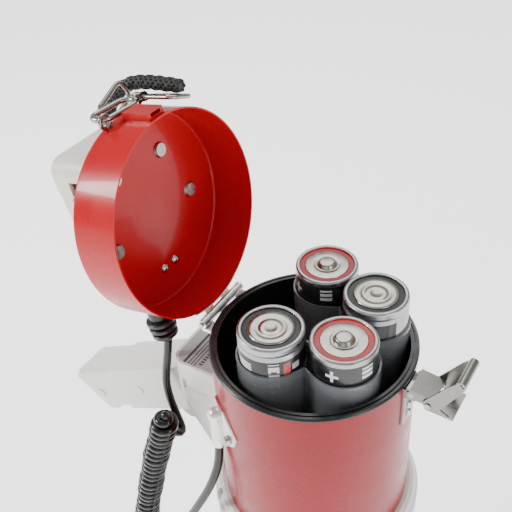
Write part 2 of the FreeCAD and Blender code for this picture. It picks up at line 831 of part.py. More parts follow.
def cable_clamp():
    """A pressed plate with a half-round channel down one side, which grips the cord."""
    start = barrel_radius.value + seat_gap.value
    bottom = clamp_top.value - clamp_length.value
    ring = Part.makeCylinder(start + clamp_sheet.value, clamp_length.value, Vector(0, 0, bottom))
    ring = ring.cut(Part.makeCylinder(start, clamp_length.value, Vector(0, 0, bottom)))
    scale = clamp_length.value / 32
    corners = [Vector(start - 30, side, bottom + level * scale) for side, level in CLAMP_OUTLINE]
    strip = Part.Face(Part.makePolygon(corners + corners[:1])).extrude(Vector(50, 0, 0))
    plate = ring.common(strip)
    bore = cord_radius.value + seat_gap.value
    middle = Vector(channel_reach.value, channel_side, bottom)
    channel = Part.makeCylinder(bore + clamp_sheet.value, channel_length.value, middle)
    inside = Part.makeCylinder(bore, channel_length.value + 1, middle - Vector(0, 0, 1))
    dome_at = middle + Vector(0, 0, channel_length.value + 1.5)
    dome = Part.makeSphere(bore + clamp_sheet.value + 0.6, dome_at)
    hollow = Part.makeSphere(bore + 0.6, dome_at)
    plate = plate.fuse(channel).fuse(dome).cut(inside).cut(hollow)
    for level in clamp_screw_levels:
        hole = Part.makeCylinder(1.65, 12, Vector(start - 4, clamp_screw_side, bottom + level),
                                 Vector(1, 0, 0))
        plate = plate.cut(hole)
    plate = plate.cut(Part.makeCylinder(start - 0.01, clamp_length.value + 20,
                                        Vector(0, 0, bottom - 10)))
    return round_barrel(plate, clamp_angle)


def clamp_screws():
    start = barrel_radius.value + seat_gap.value
    bottom = clamp_top.value - clamp_length.value
    reach = start + clamp_sheet.value + 0.2
    screws = []
    for level in clamp_screw_levels:
        shank = Part.makeCylinder(1.6, reach - start + 0.2,
                                  Vector(start - 0.02, clamp_screw_side, bottom + level),
                                  Vector(1, 0, 0))
        head = Part.makeCylinder(2.8, 1.6, Vector(reach, clamp_screw_side, bottom + level),
                                 Vector(1, 0, 0))
        screws.append(round_barrel(shank.fuse(head), clamp_angle))
    return Part.makeCompound(screws)


shaped("cable_clamp", cable_clamp())
shaped("clamp_screws", clamp_screws())


# ---------------------------------------------------------------- draw latch

latch_top = rim_height - 3.6
latch_plate_length = named("latch_plate_length", 27.0)
arm_pin_out = named("arm_pin_out", 57.6)
arm_pin_drop = named("arm_pin_drop", 5.4)
arm_length = named("arm_length", 9.4)
arm_slope = named("arm_slope", -6.7)
ARM_PIN = Vector(arm_pin_out.value, 0, rim_height.value - arm_pin_drop.value)
ARM_TURN = Rotation(Vector(0, 1, 0), -arm_slope.value)
LEVER_PIN = ARM_PIN + ARM_TURN.multVec(Vector(arm_length.value, 0, 0))
half_latch = latch_half_width.value
sheet_metal = latch_sheet.value


def along_y(radius, middle, half_length):
    start = Vector(middle.x, -half_length, middle.z)
    return Part.makeCylinder(radius, 2 * half_length, start, Vector(0, 1, 0))


def latch_base():
    """The riveted plate with two ears that carry the arm's pin."""
    start = barrel_radius.value + seat_gap.value
    bottom = latch_top.value - latch_plate_length.value
    ring = Part.makeCylinder(start + sheet_metal, latch_plate_length.value, Vector(0, 0, bottom))
    ring = ring.cut(Part.makeCylinder(start, latch_plate_length.value, Vector(0, 0, bottom)))
    plate_half = half_latch - 2 * sheet_metal
    strip = Part.makeBox(20, 2 * plate_half, latch_plate_length.value,
                         Vector(start - 8, -plate_half, bottom))
    plate = ring.common(strip)
    ear_half = half_latch - 2 * sheet_metal - 2 * running_gap.value
    for side in (-1, 1):
        outer = side * ear_half
        y = outer - sheet_metal if side > 0 else outer
        ear = Part.makeBox(ARM_PIN.x + 2.2 - 53.0, sheet_metal, 6, Vector(53.0, y, ARM_PIN.z - 4.2))
        plate = plate.fuse(ear.cut(Part.makeCylinder(start + 0.01, 2 * rim_height.value)))
    plate = plate.cut(along_y(latch_pin_radius.value + seat_gap.value, ARM_PIN, half_latch + 2))
    for level in RIVET_LEVELS:
        hole = Part.makeCylinder(1.55, 10, Vector(start - 3, RIVET_SIDE, bottom + level),
                                 Vector(1, 0, 0))
        plate = plate.cut(hole)
    return plate


RIVET_LEVELS = (4.4, 10.4)
RIVET_SIDE = 0.0


def latch_rivets():
    start = barrel_radius.value + seat_gap.value
    bottom = latch_top.value - latch_plate_length.value
    rivets = []
    for level in RIVET_LEVELS:
        at = Vector(start + 0.02, RIVET_SIDE, bottom + level)
        shank = Part.makeCylinder(1.5, sheet_metal + 0.05, at, Vector(1, 0, 0))
        head_at = at + Vector(sheet_metal + 0.05, 0, 0)
        head = Part.makeSphere(3.4, head_at - Vector(1.9, 0, 0))
        keep = Part.makeBox(4, 10, 10, head_at - Vector(0, 5, 5))
        rivets.append(shank.fuse(head.common(keep)))
    return rivets


def channel_arm():
    """The arm: an inverted channel of sheet metal between its two pins."""
    length = arm_length.value
    outer_half = half_latch - sheet_metal - running_gap.value
    inner_half = outer_half - sheet_metal
    web = Part.makeBox(length + 3.4, 2 * outer_half, sheet_metal, Vector(-1.2, -outer_half, 2.9))
    parts = web
    for side in (-1, 1):
        y = inner_half if side > 0 else -outer_half
        cheek = Part.makeBox(length, sheet_metal, 5.4, Vector(0, y, -1.6))
        round_in = Part.makeCylinder(2.6, sheet_metal, Vector(0, y, 0), Vector(0, 1, 0))
        round_out = Part.makeCylinder(2.6, sheet_metal, Vector(length, y, 0), Vector(0, 1, 0))
        fill = Part.makeBox(length + 3.4, sheet_metal, 1.7, Vector(-1.2, y, 1.3))
        parts = parts.fuse(cheek).fuse(round_in).fuse(round_out).fuse(fill)
    hole = latch_pin_radius.value + seat_gap.value
    for out in (0, length):
        parts = parts.cut(Part.makeCylinder(hole, 4 * half_latch, Vector(out, -2 * half_latch, 0),
                                            Vector(0, 1, 0)))
    parts.Placement = Placement(ARM_PIN, ARM_TURN)
    return parts


def latch_lever():
    """The lever: two tapered cheeks, a curled lip that hooks the keeper, and a thumb plate."""
    pin = LEVER_PIN
    lip = Vector(81.3, 0, rim_height.value + 14.4)
    cheek_points = [(pin.x - 3.0, pin.z + 1.2), (pin.x - 1.0, pin.z - 3.0),
                    (pin.x + 3.6, pin.z - 3.2), (pin.x + 13.0, pin.z - 3.6),
                    (pin.x + 6.0, pin.z + 0.4), (lip.x + 1.9, lip.z - 1.9),
                    (lip.x - 1.0, lip.z + 1.6), (lip.x - 5.5, lip.z - 3.0)]
    parts = None
    for side in (-1, 1):
        y = half_latch - sheet_metal if side > 0 else -half_latch
        corners = [Vector(x, y, z) for x, z in cheek_points]
        cheek = Part.Face(Part.makePolygon(corners + corners[:1])).extrude(
            Vector(0, sheet_metal, 0))
        parts = cheek if parts is None else parts.fuse(cheek)
    curl = along_y(2.4, lip, half_latch).cut(along_y(1.4, lip, half_latch + 1))
    opening = Part.makeBox(4, 2 * half_latch + 2, 4, Vector(lip.x - 3.2, -half_latch - 1, lip.z - 3.6))
    curl = curl.cut(opening)
    plate_start = Vector(pin.x + 3.9, -half_latch, pin.z - 3.2)
    plate = Part.makeBox(9.1, 2 * half_latch, sheet_metal, plate_start)
    parts = parts.fuse(curl).fuse(plate)
    return parts.cut(along_y(latch_pin_radius.value + seat_gap.value, pin, half_latch + 2))


shaped("latch_base", latch_base())
shaped("latch_arm", channel_arm())
shaped("latch_lever", latch_lever())
shaped("arm_pin", along_y(latch_pin_radius.value, ARM_PIN, half_latch - sheet_metal - 0.1))
shaped("lever_pin", along_y(latch_pin_radius.value, LEVER_PIN, half_latch + 0.6))


# ---------------------------------------------------------------- hinge

KNUCKLES = 5
knuckle_pitch = knuckle_width + 0.2
hinge_half = KNUCKLES * knuckle_pitch.value / 2


def knuckles(numbers):
    shape = None
    for number in numbers:
        start = -hinge_half + number * knuckle_pitch.value + 0.1
        barrel = Part.makeCylinder(knuckle_radius.value, knuckle_width.value,
                                   Vector(HINGE.x, start, HINGE.z), Vector(0, 1, 0))
        shape = barrel if shape is None else shape.fuse(barrel)
    return shape


def hinge_leaf(numbers, radius, low, high, web_low, web_high):
    """A curved leaf with its knuckles, and a web from each knuckle to the leaf."""
    ring = Part.makeCylinder(radius + leaf_thickness.value, high - low, Vector(0, 0, low))
    ring = ring.cut(Part.makeCylinder(radius, high - low, Vector(0, 0, low)))
    strip = Part.makeBox(20, 2 * hinge_half, high - low, Vector(-radius - 6, -hinge_half, low))
    leaf = ring.common(strip)
    for number in numbers:
        start = -hinge_half + number * knuckle_pitch.value + 0.1
        web = Part.makeBox(-HINGE.x - radius + 6, knuckle_width.value, web_high - web_low,
                           Vector(HINGE.x, start, web_low))
        web = web.cut(Part.makeCylinder(radius, 2 * rim_height.value))
        leaf = leaf.fuse(web)
    leaf = leaf.fuse(knuckles(numbers))
    pin = Part.makeCylinder(hinge_pin_radius.value + seat_gap.value, 2 * hinge_half + 2,
                            Vector(HINGE.x, -hinge_half - 1, HINGE.z), Vector(0, 1, 0))
    return leaf.cut(pin)


def rivet_row(radius, level, sides):
    """Domed rivet heads that stand on a curved leaf at one height, on the -X side."""
    rivets = []
    for side in sides:
        surface = radius + leaf_thickness.value
        angle = 180 + math.degrees(math.asin(side / surface))
        shank = Part.makeCylinder(1.3, leaf_thickness.value + 0.02,
                                  Vector(radius + 0.02, 0, level), Vector(1, 0, 0))
        dome = Part.makeSphere(2.8, Vector(surface + 0.03 - 1.5, 0, level))
        keep = Part.makeBox(4, 8, 8, Vector(surface + 0.03, -4, level - 4))
        rivet = shank.fuse(dome.common(keep))
        rivets.append(rivet.rotated(Vector(), Vector(0, 0, 1), angle))
    return rivets


def rivet_holes(shape, radius, level, sides):
    for side in sides:
        angle = 180 + math.degrees(math.asin(side / (radius + leaf_thickness.value)))
        hole = Part.makeCylinder(1.35, 6, Vector(radius - 2, 0, level), Vector(1, 0, 0))
        shape = shape.cut(hole.rotated(Vector(), Vector(0, 0, 1), angle))
    return shape


barrel_leaf_radius = barrel_radius.value + seat_gap.value
barrel_leaf_high = ring_bottom.value - 0.2
barrel_leaf_low = barrel_leaf_high - leaf_length.value
lid_leaf_radius = lid_radius.value + seat_gap.value
lid_leaf_low = lid_base.value + 0.4
lid_leaf_high = lid_leaf_low + leaf_length.value
hinge_rivet_sides = (-14.0, 0.0, 14.0)
barrel_rivet_level = barrel_leaf_low + 4.5
lid_rivet_level = lid_leaf_high - 4.5

barrel_leaf = hinge_leaf((0, 2, 4), barrel_leaf_radius, barrel_leaf_low, barrel_leaf_high,
                         HINGE.z - knuckle_radius.value - 1.6, HINGE.z - knuckle_radius.value + 0.5)
shaped("hinge_leaf_barrel",
       rivet_holes(barrel_leaf, barrel_leaf_radius, barrel_rivet_level, hinge_rivet_sides))
lid_leaf = hinge_leaf((1, 3), lid_leaf_radius, lid_leaf_low, lid_leaf_high,
                      HINGE.z + knuckle_radius.value - 0.7, HINGE.z + knuckle_radius.value + 1.4)
shaped("hinge_leaf_lid",
       rivet_holes(lid_leaf, lid_leaf_radius, lid_rivet_level, hinge_rivet_sides), True)
shaped("hinge_pin", Part.makeCylinder(hinge_pin_radius.value, 2 * hinge_half + 2,
                                      Vector(HINGE.x, -hinge_half - 1, HINGE.z),
                                      Vector(0, 1, 0)))
shaped("barrel_rivets", Part.makeCompound(
    rivet_row(barrel_leaf_radius, barrel_rivet_level, hinge_rivet_sides) + latch_rivets()))


# ---------------------------------------------------------------- lid (drawn closed)

CONTACT_ANGLES = (99.3, 36.0, -32.1, -102.8)
LID_SCREWS = ((-35.2, 4.6), (-35.2, -4.6))


def keeper_block():
    """The raised block on the lid's wall, with the slot that the latch's lip hooks into."""
    start = lid_radius.value - lid_wall.value * 0.5
    solid = Part.makeBox(keeper_rise.value + lid_wall.value * 0.5, keeper_width.value,
                         keeper_length.value,
                         Vector(start, -keeper_width.value / 2, lid_base.value + 2))
    slot = Part.makeBox(1.8, keeper_width.value - 4, 6,
                        Vector(lid_radius.value + 1.0, -keeper_width.value / 2 + 2,
                               lid_base.value + 1.5))
    return solid.cut(slot)


def lid_shell():
    """A drawn steel cap: rolled lip, straight wall and a flat back with a round edge."""
    outer = Part.makeCylinder(lid_radius.value, lid_back.value - lid_base.value,
                              Vector(0, 0, lid_base.value))
    edge = [item for item in outer.Edges if abs(item.CenterOfMass.z - lid_back.value) < 0.01]
    outer = outer.makeFillet(2.2, [item for item in edge if item.Closed])
    inner = Part.makeCylinder(lid_radius.value - lid_wall.value,
                              lid_inside.value - lid_base.value + 1,
                              Vector(0, 0, lid_base.value - 1))
    edge = [item for item in inner.Edges if abs(item.CenterOfMass.z - lid_inside.value) < 0.01]
    inner = inner.makeFillet(1.4, [item for item in edge if item.Closed])
    shell = outer.cut(inner)
    shell = shell.fuse(keeper_block().cut(inner))
    for degrees in CONTACT_ANGLES:
        at = polar(contact_ring.value, degrees, lid_inside.value - 1)
        shell = shell.cut(Part.makeCylinder(1.55, 4, at))
    for x, y in LID_SCREWS:
        shell = shell.cut(Part.makeCylinder(1.55, 4, Vector(x, y, lid_inside.value - 1)))
    eyelet = Part.makeCylinder(1.55, 6, polar(lid_radius.value - 4, EYELET_ANGLE, EYELET_LEVEL),
                               polar(1, EYELET_ANGLE))
    return shell.cut(eyelet)


EYELET_ANGLE = -13.0
EYELET_LEVEL = rim_height.value + 23.8


def lid_contacts():
    """The four nickel rivets that touch the cells' ends."""
    rivets = []
    for degrees in CONTACT_ANGLES:
        base = polar(contact_ring.value, degrees, lid_inside.value - 0.03)
        head = Part.makeCone(contact_radius.value - 0.8, contact_radius.value, contact_rise.value,
                             base - Vector(0, 0, contact_rise.value))
        shank = Part.makeCylinder(1.5, lid_wall.value + 0.06, base)
        rivets.append(head.fuse(shank))
    return Part.makeCompound(rivets)


def bridge_straps():
    """Two flat straps on the lid's back that join the contacts in pairs."""
    straps = []
    for first, second in ((CONTACT_ANGLES[0], CONTACT_ANGLES[1]),
                          (CONTACT_ANGLES[2], CONTACT_ANGLES[3])):
        level = lid_back.value + 0.05
        start = polar(contact_ring.value, first, level)
        end = polar(contact_ring.value, second, level)
        length = (end - start).Length
        strip = Part.makeBox(length + 8, 8, 0.6, Vector(-4, -4, 0))
        turn = math.degrees(math.atan2(end.y - start.y, end.x - start.x))
        strip.Placement = Placement(start, Rotation(Vector(0, 0, 1), turn))
        straps.append(strip)
    return Part.makeCompound(straps)


def lid_screws():
    """The two screws that hold the housing from inside, and the lid leaf's rivets."""
    screws = rivet_row(lid_leaf_radius, lid_rivet_level, hinge_rivet_sides)
    for x, y in LID_SCREWS:
        base = Vector(x, y, lid_inside.value - 0.03)
        head = Part.makeSphere(3.2, base + Vector(0, 0, 1.6))
        keep = Part.makeCylinder(4, 3, base - Vector(0, 0, 3))
        shank = Part.makeCylinder(1.5, lid_wall.value + 0.05, base)
        screws.append(head.common(keep).fuse(shank))
    return Part.makeCompound(screws)


shaped("lid_shell", lid_shell(), True)
shaped("lid_contacts", lid_contacts(), True)
shaped("bridge_straps", bridge_straps(), True)
shaped("lid_screws", lid_screws(), True)


# ---------------------------------------------------------------- microphone and control housing

house_base = lid_back.value + 0.7
house_face = lid_back.value + housing_depth.value
house_half = housing_width.value / 2
cover_height = named("cover_height", 6.0)
house_split = house_face - cover_height.value


def housing_block(shrink, low, high):
    """The housing's outer form: a tapered block with round corners, shrunk by one wall."""
    top = housing_top.value - shrink
    bottom = housing_bottom.value + shrink
    half = house_half - shrink
    block = Part.makeBox(top - bottom, 2 * half, high - low, Vector(bottom, -half, low))
    upright = [edge for edge in block.Edges
               if abs(edge.Vertexes[0].X - edge.Vertexes[1].X) < 0.01
               and abs(edge.Vertexes[0].Y - edge.Vertexes[1].Y) < 0.01]
    block = block.makeFillet(housing_corner.value - shrink * 0.5, upright)
    reach = top - bottom + 2
    drop = housing_taper.value
    face = house_face - shrink
    wedge = prism([(top - 8, face), (top + 2, face), (top + 2, face + 40), (bottom - 2, face + 40),
                   (bottom - 2, face - drop * (reach - 10) / (reach - 2))], house_half + 2)
    return block.cut(wedge)


SWITCH_MIDDLE = Vector(22.9, -house_half, lid_back.value + 23.4 - 9.0)
WHEEL_MIDDLE = Vector(10.0, house_half - 6.0, lid_back.value + 14.0)


def mic_housing():
    outer = housing_block(0.0, house_base, house_face + 5)
    inner = housing_block(housing_wall.value, house_base + housing_wall.value, house_face + 5)
    lower = Part.makeBox(200, 200, house_split - house_base, Vector(-100, -100, house_base))
    shell = outer.common(lower).cut(inner)
    window = Part.makeBox(16, 8, 7, SWITCH_MIDDLE - Vector(8, 4, 3.5))
    entry = Part.makeCylinder(relief_radius.value * 0.36 + seat_gap.value, 10,
                              Vector(housing_bottom.value - 2, relief_side.value,
                                     rim_height.value + relief_depth.value), Vector(1, 0, 0))
    half = wheel_thickness.value / 2 + running_gap.value
    slot = Part.makeCylinder(wheel_radius.value + 2 * running_gap.value, 2 * half,
                             WHEEL_MIDDLE - Vector(0, 0, half))
    shell = shell.cut(window).cut(entry).cut(slot)
    for x, y in LID_SCREWS:
        shell = shell.cut(Part.makeCylinder(3.3, 0.4, Vector(x, y, house_base - 0.1)))
    return shell


STRAP_END = Vector(-38.0, 10.0, house_face - 1.0)


def mic_cover():
    outer = housing_block(0.0, house_base, house_face + 5)
    inner = housing_block(housing_wall.value, house_base, house_face + 5)
    upper = Part.makeBox(200, 200, 60, Vector(-100, -100, house_split + seat_gap.value))
    shell = outer.cut(inner).common(upper)
    for row in range(5):
        slot = Part.makeBox(2.4, 20, 30, Vector(-26 + row * 5.0, -16, house_split))
        shell = shell.cut(slot)
    block = Part.makeBox(8, 13, 12, STRAP_END - Vector(6.0, 6.5, 7.0))
    block = block.makeFillet(2.0, [edge for edge in block.Edges if edge.Length < 12.5])
    bore = Part.makeCylinder(strap_radius.value + seat_gap.value, 8,
                             STRAP_END - Vector(0.05, 0, 0), Vector(1, 0, 0))
    return shell.fuse(block.common(upper).cut(inner)).cut(bore)


def volume_wheel():
    """A knurled thumb wheel whose edge stands out of a slot in the housing's side."""
    half = wheel_thickness.value / 2
    wheel = Part.makeCylinder(wheel_radius.value, 2 * half, WHEEL_MIDDLE - Vector(0, 0, half))
    hub = Part.makeCylinder(2.4, 2 * half + 4, WHEEL_MIDDLE - Vector(0, 0, half + 2))
    wheel = wheel.fuse(hub)
    for number in range(8):
        notch = Part.makeCylinder(1.1, 2 * half + 1, WHEEL_MIDDLE
                                  + polar(wheel_radius.value, number * 45, -half - 0.5))
        wheel = wheel.cut(notch)
    return wheel


def mic_capsule():
    level = house_split - 8
    can = Part.makeCylinder(9, 7, Vector(-20, 0, level))
    ring = Part.makeCylinder(11, 2, Vector(-20, 0, level + 2))
    return can.fuse(ring)


def slide_switch():
    """The switch's button, which slides along the housing's side."""
    middle = SWITCH_MIDDLE + Vector(-switch_travel.value / 2, 0, 0)
    button = Part.makeBox(5, 3.4, 5.6, middle + Vector(-2.5, -1.6, -2.8))
    plate = Part.makeBox(9, 1.0, 6.4, middle + Vector(-4.5, 0.6, -3.2))
    return button.fuse(plate)


def strain_relief():
    """The rubber sleeve on the housing's lower end: a collar and a ribbed taper."""
    level = rim_height.value + relief_depth.value
    start = Vector(housing_bottom.value, relief_side.value, level)
    back = Vector(-1, 0, 0)
    neck = relief_radius.value * 0.62
    collar = relief_length.value * 0.42
    shape = Part.makeCylinder(relief_radius.value * 0.36, 3.4, start + Vector(3.0, 0, 0), back)
    shape = shape.fuse(Part.makeCylinder(relief_radius.value * 0.72, collar,
                                         start - Vector(0.05, 0, 0), back))
    ribs = 3
    tip = relief_length.value * 0.1
    pitch = (relief_length.value - collar - tip) / ribs
    for number in range(ribs):
        radius = relief_radius.value * (1.0 - 0.06 * number)
        at = start - Vector(collar + number * pitch, 0, 0)
        shape = shape.fuse(Part.makeCylinder(neck, pitch, at, back))
        shape = shape.fuse(Part.makeCylinder(radius, pitch * 0.62,
                                             at - Vector(pitch * 0.38, 0, 0), back))
    end = start - Vector(relief_length.value - tip - 0.05, 0, 0)
    shape = shape.fuse(Part.makeCone(radius, cord_radius.value + 0.8, tip, end, back))
    return shape


shaped("mic_housing", mic_housing(), True)
shaped("mic_cover", mic_cover(), True)
shaped("mic_capsule", mic_capsule(), True)
shaped("volume_wheel", volume_wheel(), True)
shaped("slide_switch", slide_switch(), True)
shaped("strain_relief", strain_relief(), True)


# ---------------------------------------------------------------- hook, rings and hand strap

def bent_wire(points, radius, closed=False, bend=None):
    """A round wire or cord: straight runs joined by arcs, and the arcs' radii printed."""
    corners = [Vector(*point) for point in points]
    count = len(corners)
    numbers = range(count) if closed else range(1, count - 1)
    cuts = {}
    radii = []
    for number in numbers:
        before = corners[(number - 1) % count]
        here = corners[number]
        after = corners[(number + 1) % count]
        inward = (before - here).normalize()
        outward = (after - here).normalize()
        half_turn = (math.pi - inward.getAngle(outward)) / 2
        if half_turn < 0.003:
            cuts[number] = (here, here, here)
            continue
        room = 0.45 * min((before - here).Length, (after - here).Length)
        if bend:
            room = min(room, bend * math.tan(half_turn))
        radii.append(round(room / math.tan(half_turn), 1))
        start = here + inward * room
        end = here + outward * room
        toward = (inward + outward).normalize()
        reach = room / math.tan(half_turn)
        sagitta = math.hypot(reach, room) - reach
        cuts[number] = (start, here + toward * sagitta, end)
    edges = []
    order = list(numbers)
    if closed:
        for number in order:
            edges.append(Part.Arc(*cuts[number]).toShape())
            following = cuts[(number + 1) % count][0]
            edges.append(Part.makeLine(cuts[number][2], following))
    else:
        where = corners[0]
        for number in order:
            start, middle, end = cuts[number]
            if (start - where).Length > 1e-6:
                edges.append(Part.makeLine(where, start))
            if (end - start).Length > 1e-6:
                edges.append(Part.Arc(start, middle, end).toShape())
            where = end
        edges.append(Part.makeLine(where, corners[-1]))
    wire = Part.Wire(edges)
    first = wire.Edges[0]
    begin = first.valueAt(first.FirstParameter)
    along = first.tangentAt(first.FirstParameter)
    ring = Part.Wire(Part.makeCircle(radius, begin, along))
    solid = wire.makePipeShell([ring], True, False)
    expected = math.pi * radius ** 2 * wire.Length
    print("  wire length", round(wire.Length, 1), "volume ratio",
          round(abs(solid.Volume) / expected, 4), "radii", radii)
    return solid


EYELET_RING = polar(lid_radius.value + 4.0, EYELET_ANGLE, EYELET_LEVEL)
HOOK_LEFT = EYELET_RING + Vector(0.9, -0.4, 5.2)
HOOK_RIGHT = HOOK_LEFT + Vector(-0.6, 25.6, -1.6)
HOOK_ACROSS = Vector(0.08, 0.06, 0.99)
hook_half_width = named("hook_half_width", 5.4)
hook_wire = named("hook_wire", 1.5)
ring_wire = named("ring_wire", 1.3)
loop_wire = named("loop_wire", 1.1)
ring_level = rim_height + 36.7
loop_middle = Vector(55.6, 20.6, rim_height.value + 13.6)
loop_angle = math.degrees(math.atan2(loop_middle.y, loop_middle.x))
loop_half_length = named("loop_half_length", 11.8)


def hook_eyelet():
    stem_start = polar(lid_radius.value - lid_wall.value - 0.6, EYELET_ANGLE, EYELET_LEVEL)
    stem_end = polar(lid_radius.value + 1.2, EYELET_ANGLE, EYELET_LEVEL)
    out = polar(1, EYELET_ANGLE)
    stem = Part.makeCylinder(1.5, (stem_end - stem_start).Length, stem_start, out)
    inner_head = Part.makeCylinder(2.6, 0.8, stem_start - out * 0.75, out)
    ring = Part.makeTorus(3.2, 1.0, EYELET_RING, Vector(0, 0, 1))
    return stem.fuse(ring).fuse(inner_head)


def snap_hook():
    """The oval hook through the eyelet, and the swivel barrel that carries the strap's loop."""
    across = HOOK_ACROSS * hook_half_width.value
    along = (HOOK_RIGHT - HOOK_LEFT) / 4
    outline = [HOOK_LEFT - across * 0.45, HOOK_LEFT + across * 0.45,
               HOOK_LEFT + along * 0.55 + across, HOOK_RIGHT - along * 0.55 + across,
               HOOK_RIGHT + across * 0.45, HOOK_RIGHT - across * 0.45,
               HOOK_RIGHT - along * 0.55 - across, HOOK_LEFT + along * 0.55 - across]
    loop = bent_wire([tuple(point) for point in outline], hook_wire.value, True)
    end = loop_middle + Vector(0, 0, loop_half_length.value + loop_wire.value)
    start = HOOK_RIGHT
    way = (end - start).normalize()
    swivel = Part.makeCylinder(2.6, (end - start).Length, start, way)
    collar = Part.makeCylinder(3.3, 2.2, start + way * 1.6, way)
    return loop.fuse(swivel).fuse(collar)


def wire_ring():
    level = ring_level.value
    return bent_wire([(58, -5, level), (66, 16, level), (55.7, 20.8, level), (47.7, -0.4, level)],
                     ring_wire.value, True, 4.0)


def strap_loop():
    """A D-shaped wire loop that lies along the lid's wall and turns in the swivel."""
    turn = Rotation(Vector(0, 0, 1), loop_angle)
    half = 7.5
    reach = loop_half_length.value
    outline = [(0, -half, -reach), (0, half, -reach), (0, half, 6), (0, 3.0, reach),
               (0, -3.0, reach), (0, -half, 6)]
    points = [loop_middle + turn.multVec(Vector(*point)) for point in outline]
    return bent_wire([tuple(point) for point in points], loop_wire.value, True, 4.0)


STRAP_ROUTE = [
    (60.4, 22.4, 322.4), (61.2, 23.2, 334.0), (61.9, 24.0, 346.0), (61.2, 24.2, 357.5),
    (57.0, 24.0, 368.0), (49.4, 23.0, 376.6), (39.4, 21.4, 382.0), (27.6, 19.4, 384.4),
    (14.6, 17.4, 384.2), (1.6, 15.4, 382.0), (-10.0, 12.8, 377.6),
    (STRAP_END.x + 9, STRAP_END.y, STRAP_END.z), tuple(STRAP_END)]

shaped("hook_eyelet", hook_eyelet(), True)
shaped("snap_hook", snap_hook(), True)
shaped("wire_ring", wire_ring(), True)
shaped("strap_loop", strap_loop(), True)
shaped("hand_strap", bent_wire(STRAP_ROUTE, strap_radius.value), True)


# ---------------------------------------------------------------- curly cord

CORD_EXIT = OPEN.multVec(Vector(housing_bottom.value - relief_length.value - 0.9,
                                relief_side.value, rim_height.value + relief_depth.value))
CHANNEL_FOOT = round_barrel(Part.Vertex(channel_reach.value, channel_side,
                                        clamp_top.value - clamp_length.value - 0.1),
                            clamp_angle).Point
LEAD_ROUTE = [
    tuple(CORD_EXIT), (-89.0, -15.6, 281.0), (-90.2, -17.8, 270.0), (-91.0, -19.6, 259.5),
    (-88.7, -21.8, 251.6), (-85.6, -23.5, 245.4), (-82.2, -25.0, 239.6), (-78.4, -26.4, 234.0),
    (-75.2, -29.2, 231.8), (-75.6, -33.4, 234.2), (-79.6, -37.6, 242.6)]
CURL_ROUTE = [
    (-76.8, -39.0, 255.7), (-78.9, -39.0, 248.5), (-83.1, -39.0, 235.3), (-89.7, -39.3, 216.3),
    (-94.6, -39.8, 199.4), (-99.4, -40.4, 182.0), (-104.3, -41.2, 162.9), (-108.2, -42.0, 146.8),
    (-112.4, -43.2, 125.0), (-115.4, -44.6, 100.0), (-116.6, -46.4, 74.0)]
TAIL_ROUTE = [
    tuple(CHANNEL_FOOT), (-34.8, -45.8, 253.7), (-35.8, -47.8, 244.1), (-38.0, -50.0, 235.0),
    (-41.9, -52.0, 223.5), (-47.2, -54.2, 211.5), (-53.8, -56.0, 197.0), (-62.4, -57.4, 179.0),
    (-73.0, -58.8, 157.0), (-83.0, -59.8, 133.0), (-91.0, -60.4, 109.0), (-96.2, -60.6, 86.0),
    (-97.6, -60.4, 66.0), (-99.6, -58.8, 54.0), (-104.0, -55.6, 47.2), (-109.8, -51.4, 46.6),
    (-114.4, -48.0, 52.0), (-116.4, -46.6, 62.0), (-116.6, -46.4, 73.9)]

print("cord lead")
shaped("cord_lead", bent_wire(LEAD_ROUTE, cord_radius.value))
print("cord curl")
shaped("cord_curl", bent_wire(CURL_ROUTE, curl_radius.value))
print("cord tail")
shaped("cord_tail", bent_wire(TAIL_ROUTE, cord_radius.value))


# ---------------------------------------------------------------- check and write

doc.recompute()
for item in doc.Objects:
    if "Invalid" in item.State or "Error" in item.State:
        raise RuntimeError(item.Name + " failed: " + str(item.State))
for item in pieces:
    if item.Shape.isNull() or not item.Shape.isValid() or item.Shape.Volume < 1:
        raise RuntimeError(item.Label + " has no valid solid")

os.makedirs("parts", exist_ok=True)
for item in pieces:
    item.Shape.exportStep(os.path.join("parts", item.Label + ".step"))
    print(item.Label, len(item.Shape.Solids), "solids", round(item.Shape.Volume), "mm3")
print(len(pieces), "pieces written")
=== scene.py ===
# %% [markdown]
# A hand megaphone stands on its horn with the battery lid folded open.  The CAD model gives
# the frame: every body, joint and metal part is already in place, in metres, with +Z up.
# This lesson gives each of those parts its finish, and models the pieces whose shape is
# softer or finer than the CAD: the cells, the curly cord, the strain relief and the braided
# strap.

# %% Load the frame
import json
import math

import bmesh
import bpy
from mathutils import Euler, Matrix, Vector


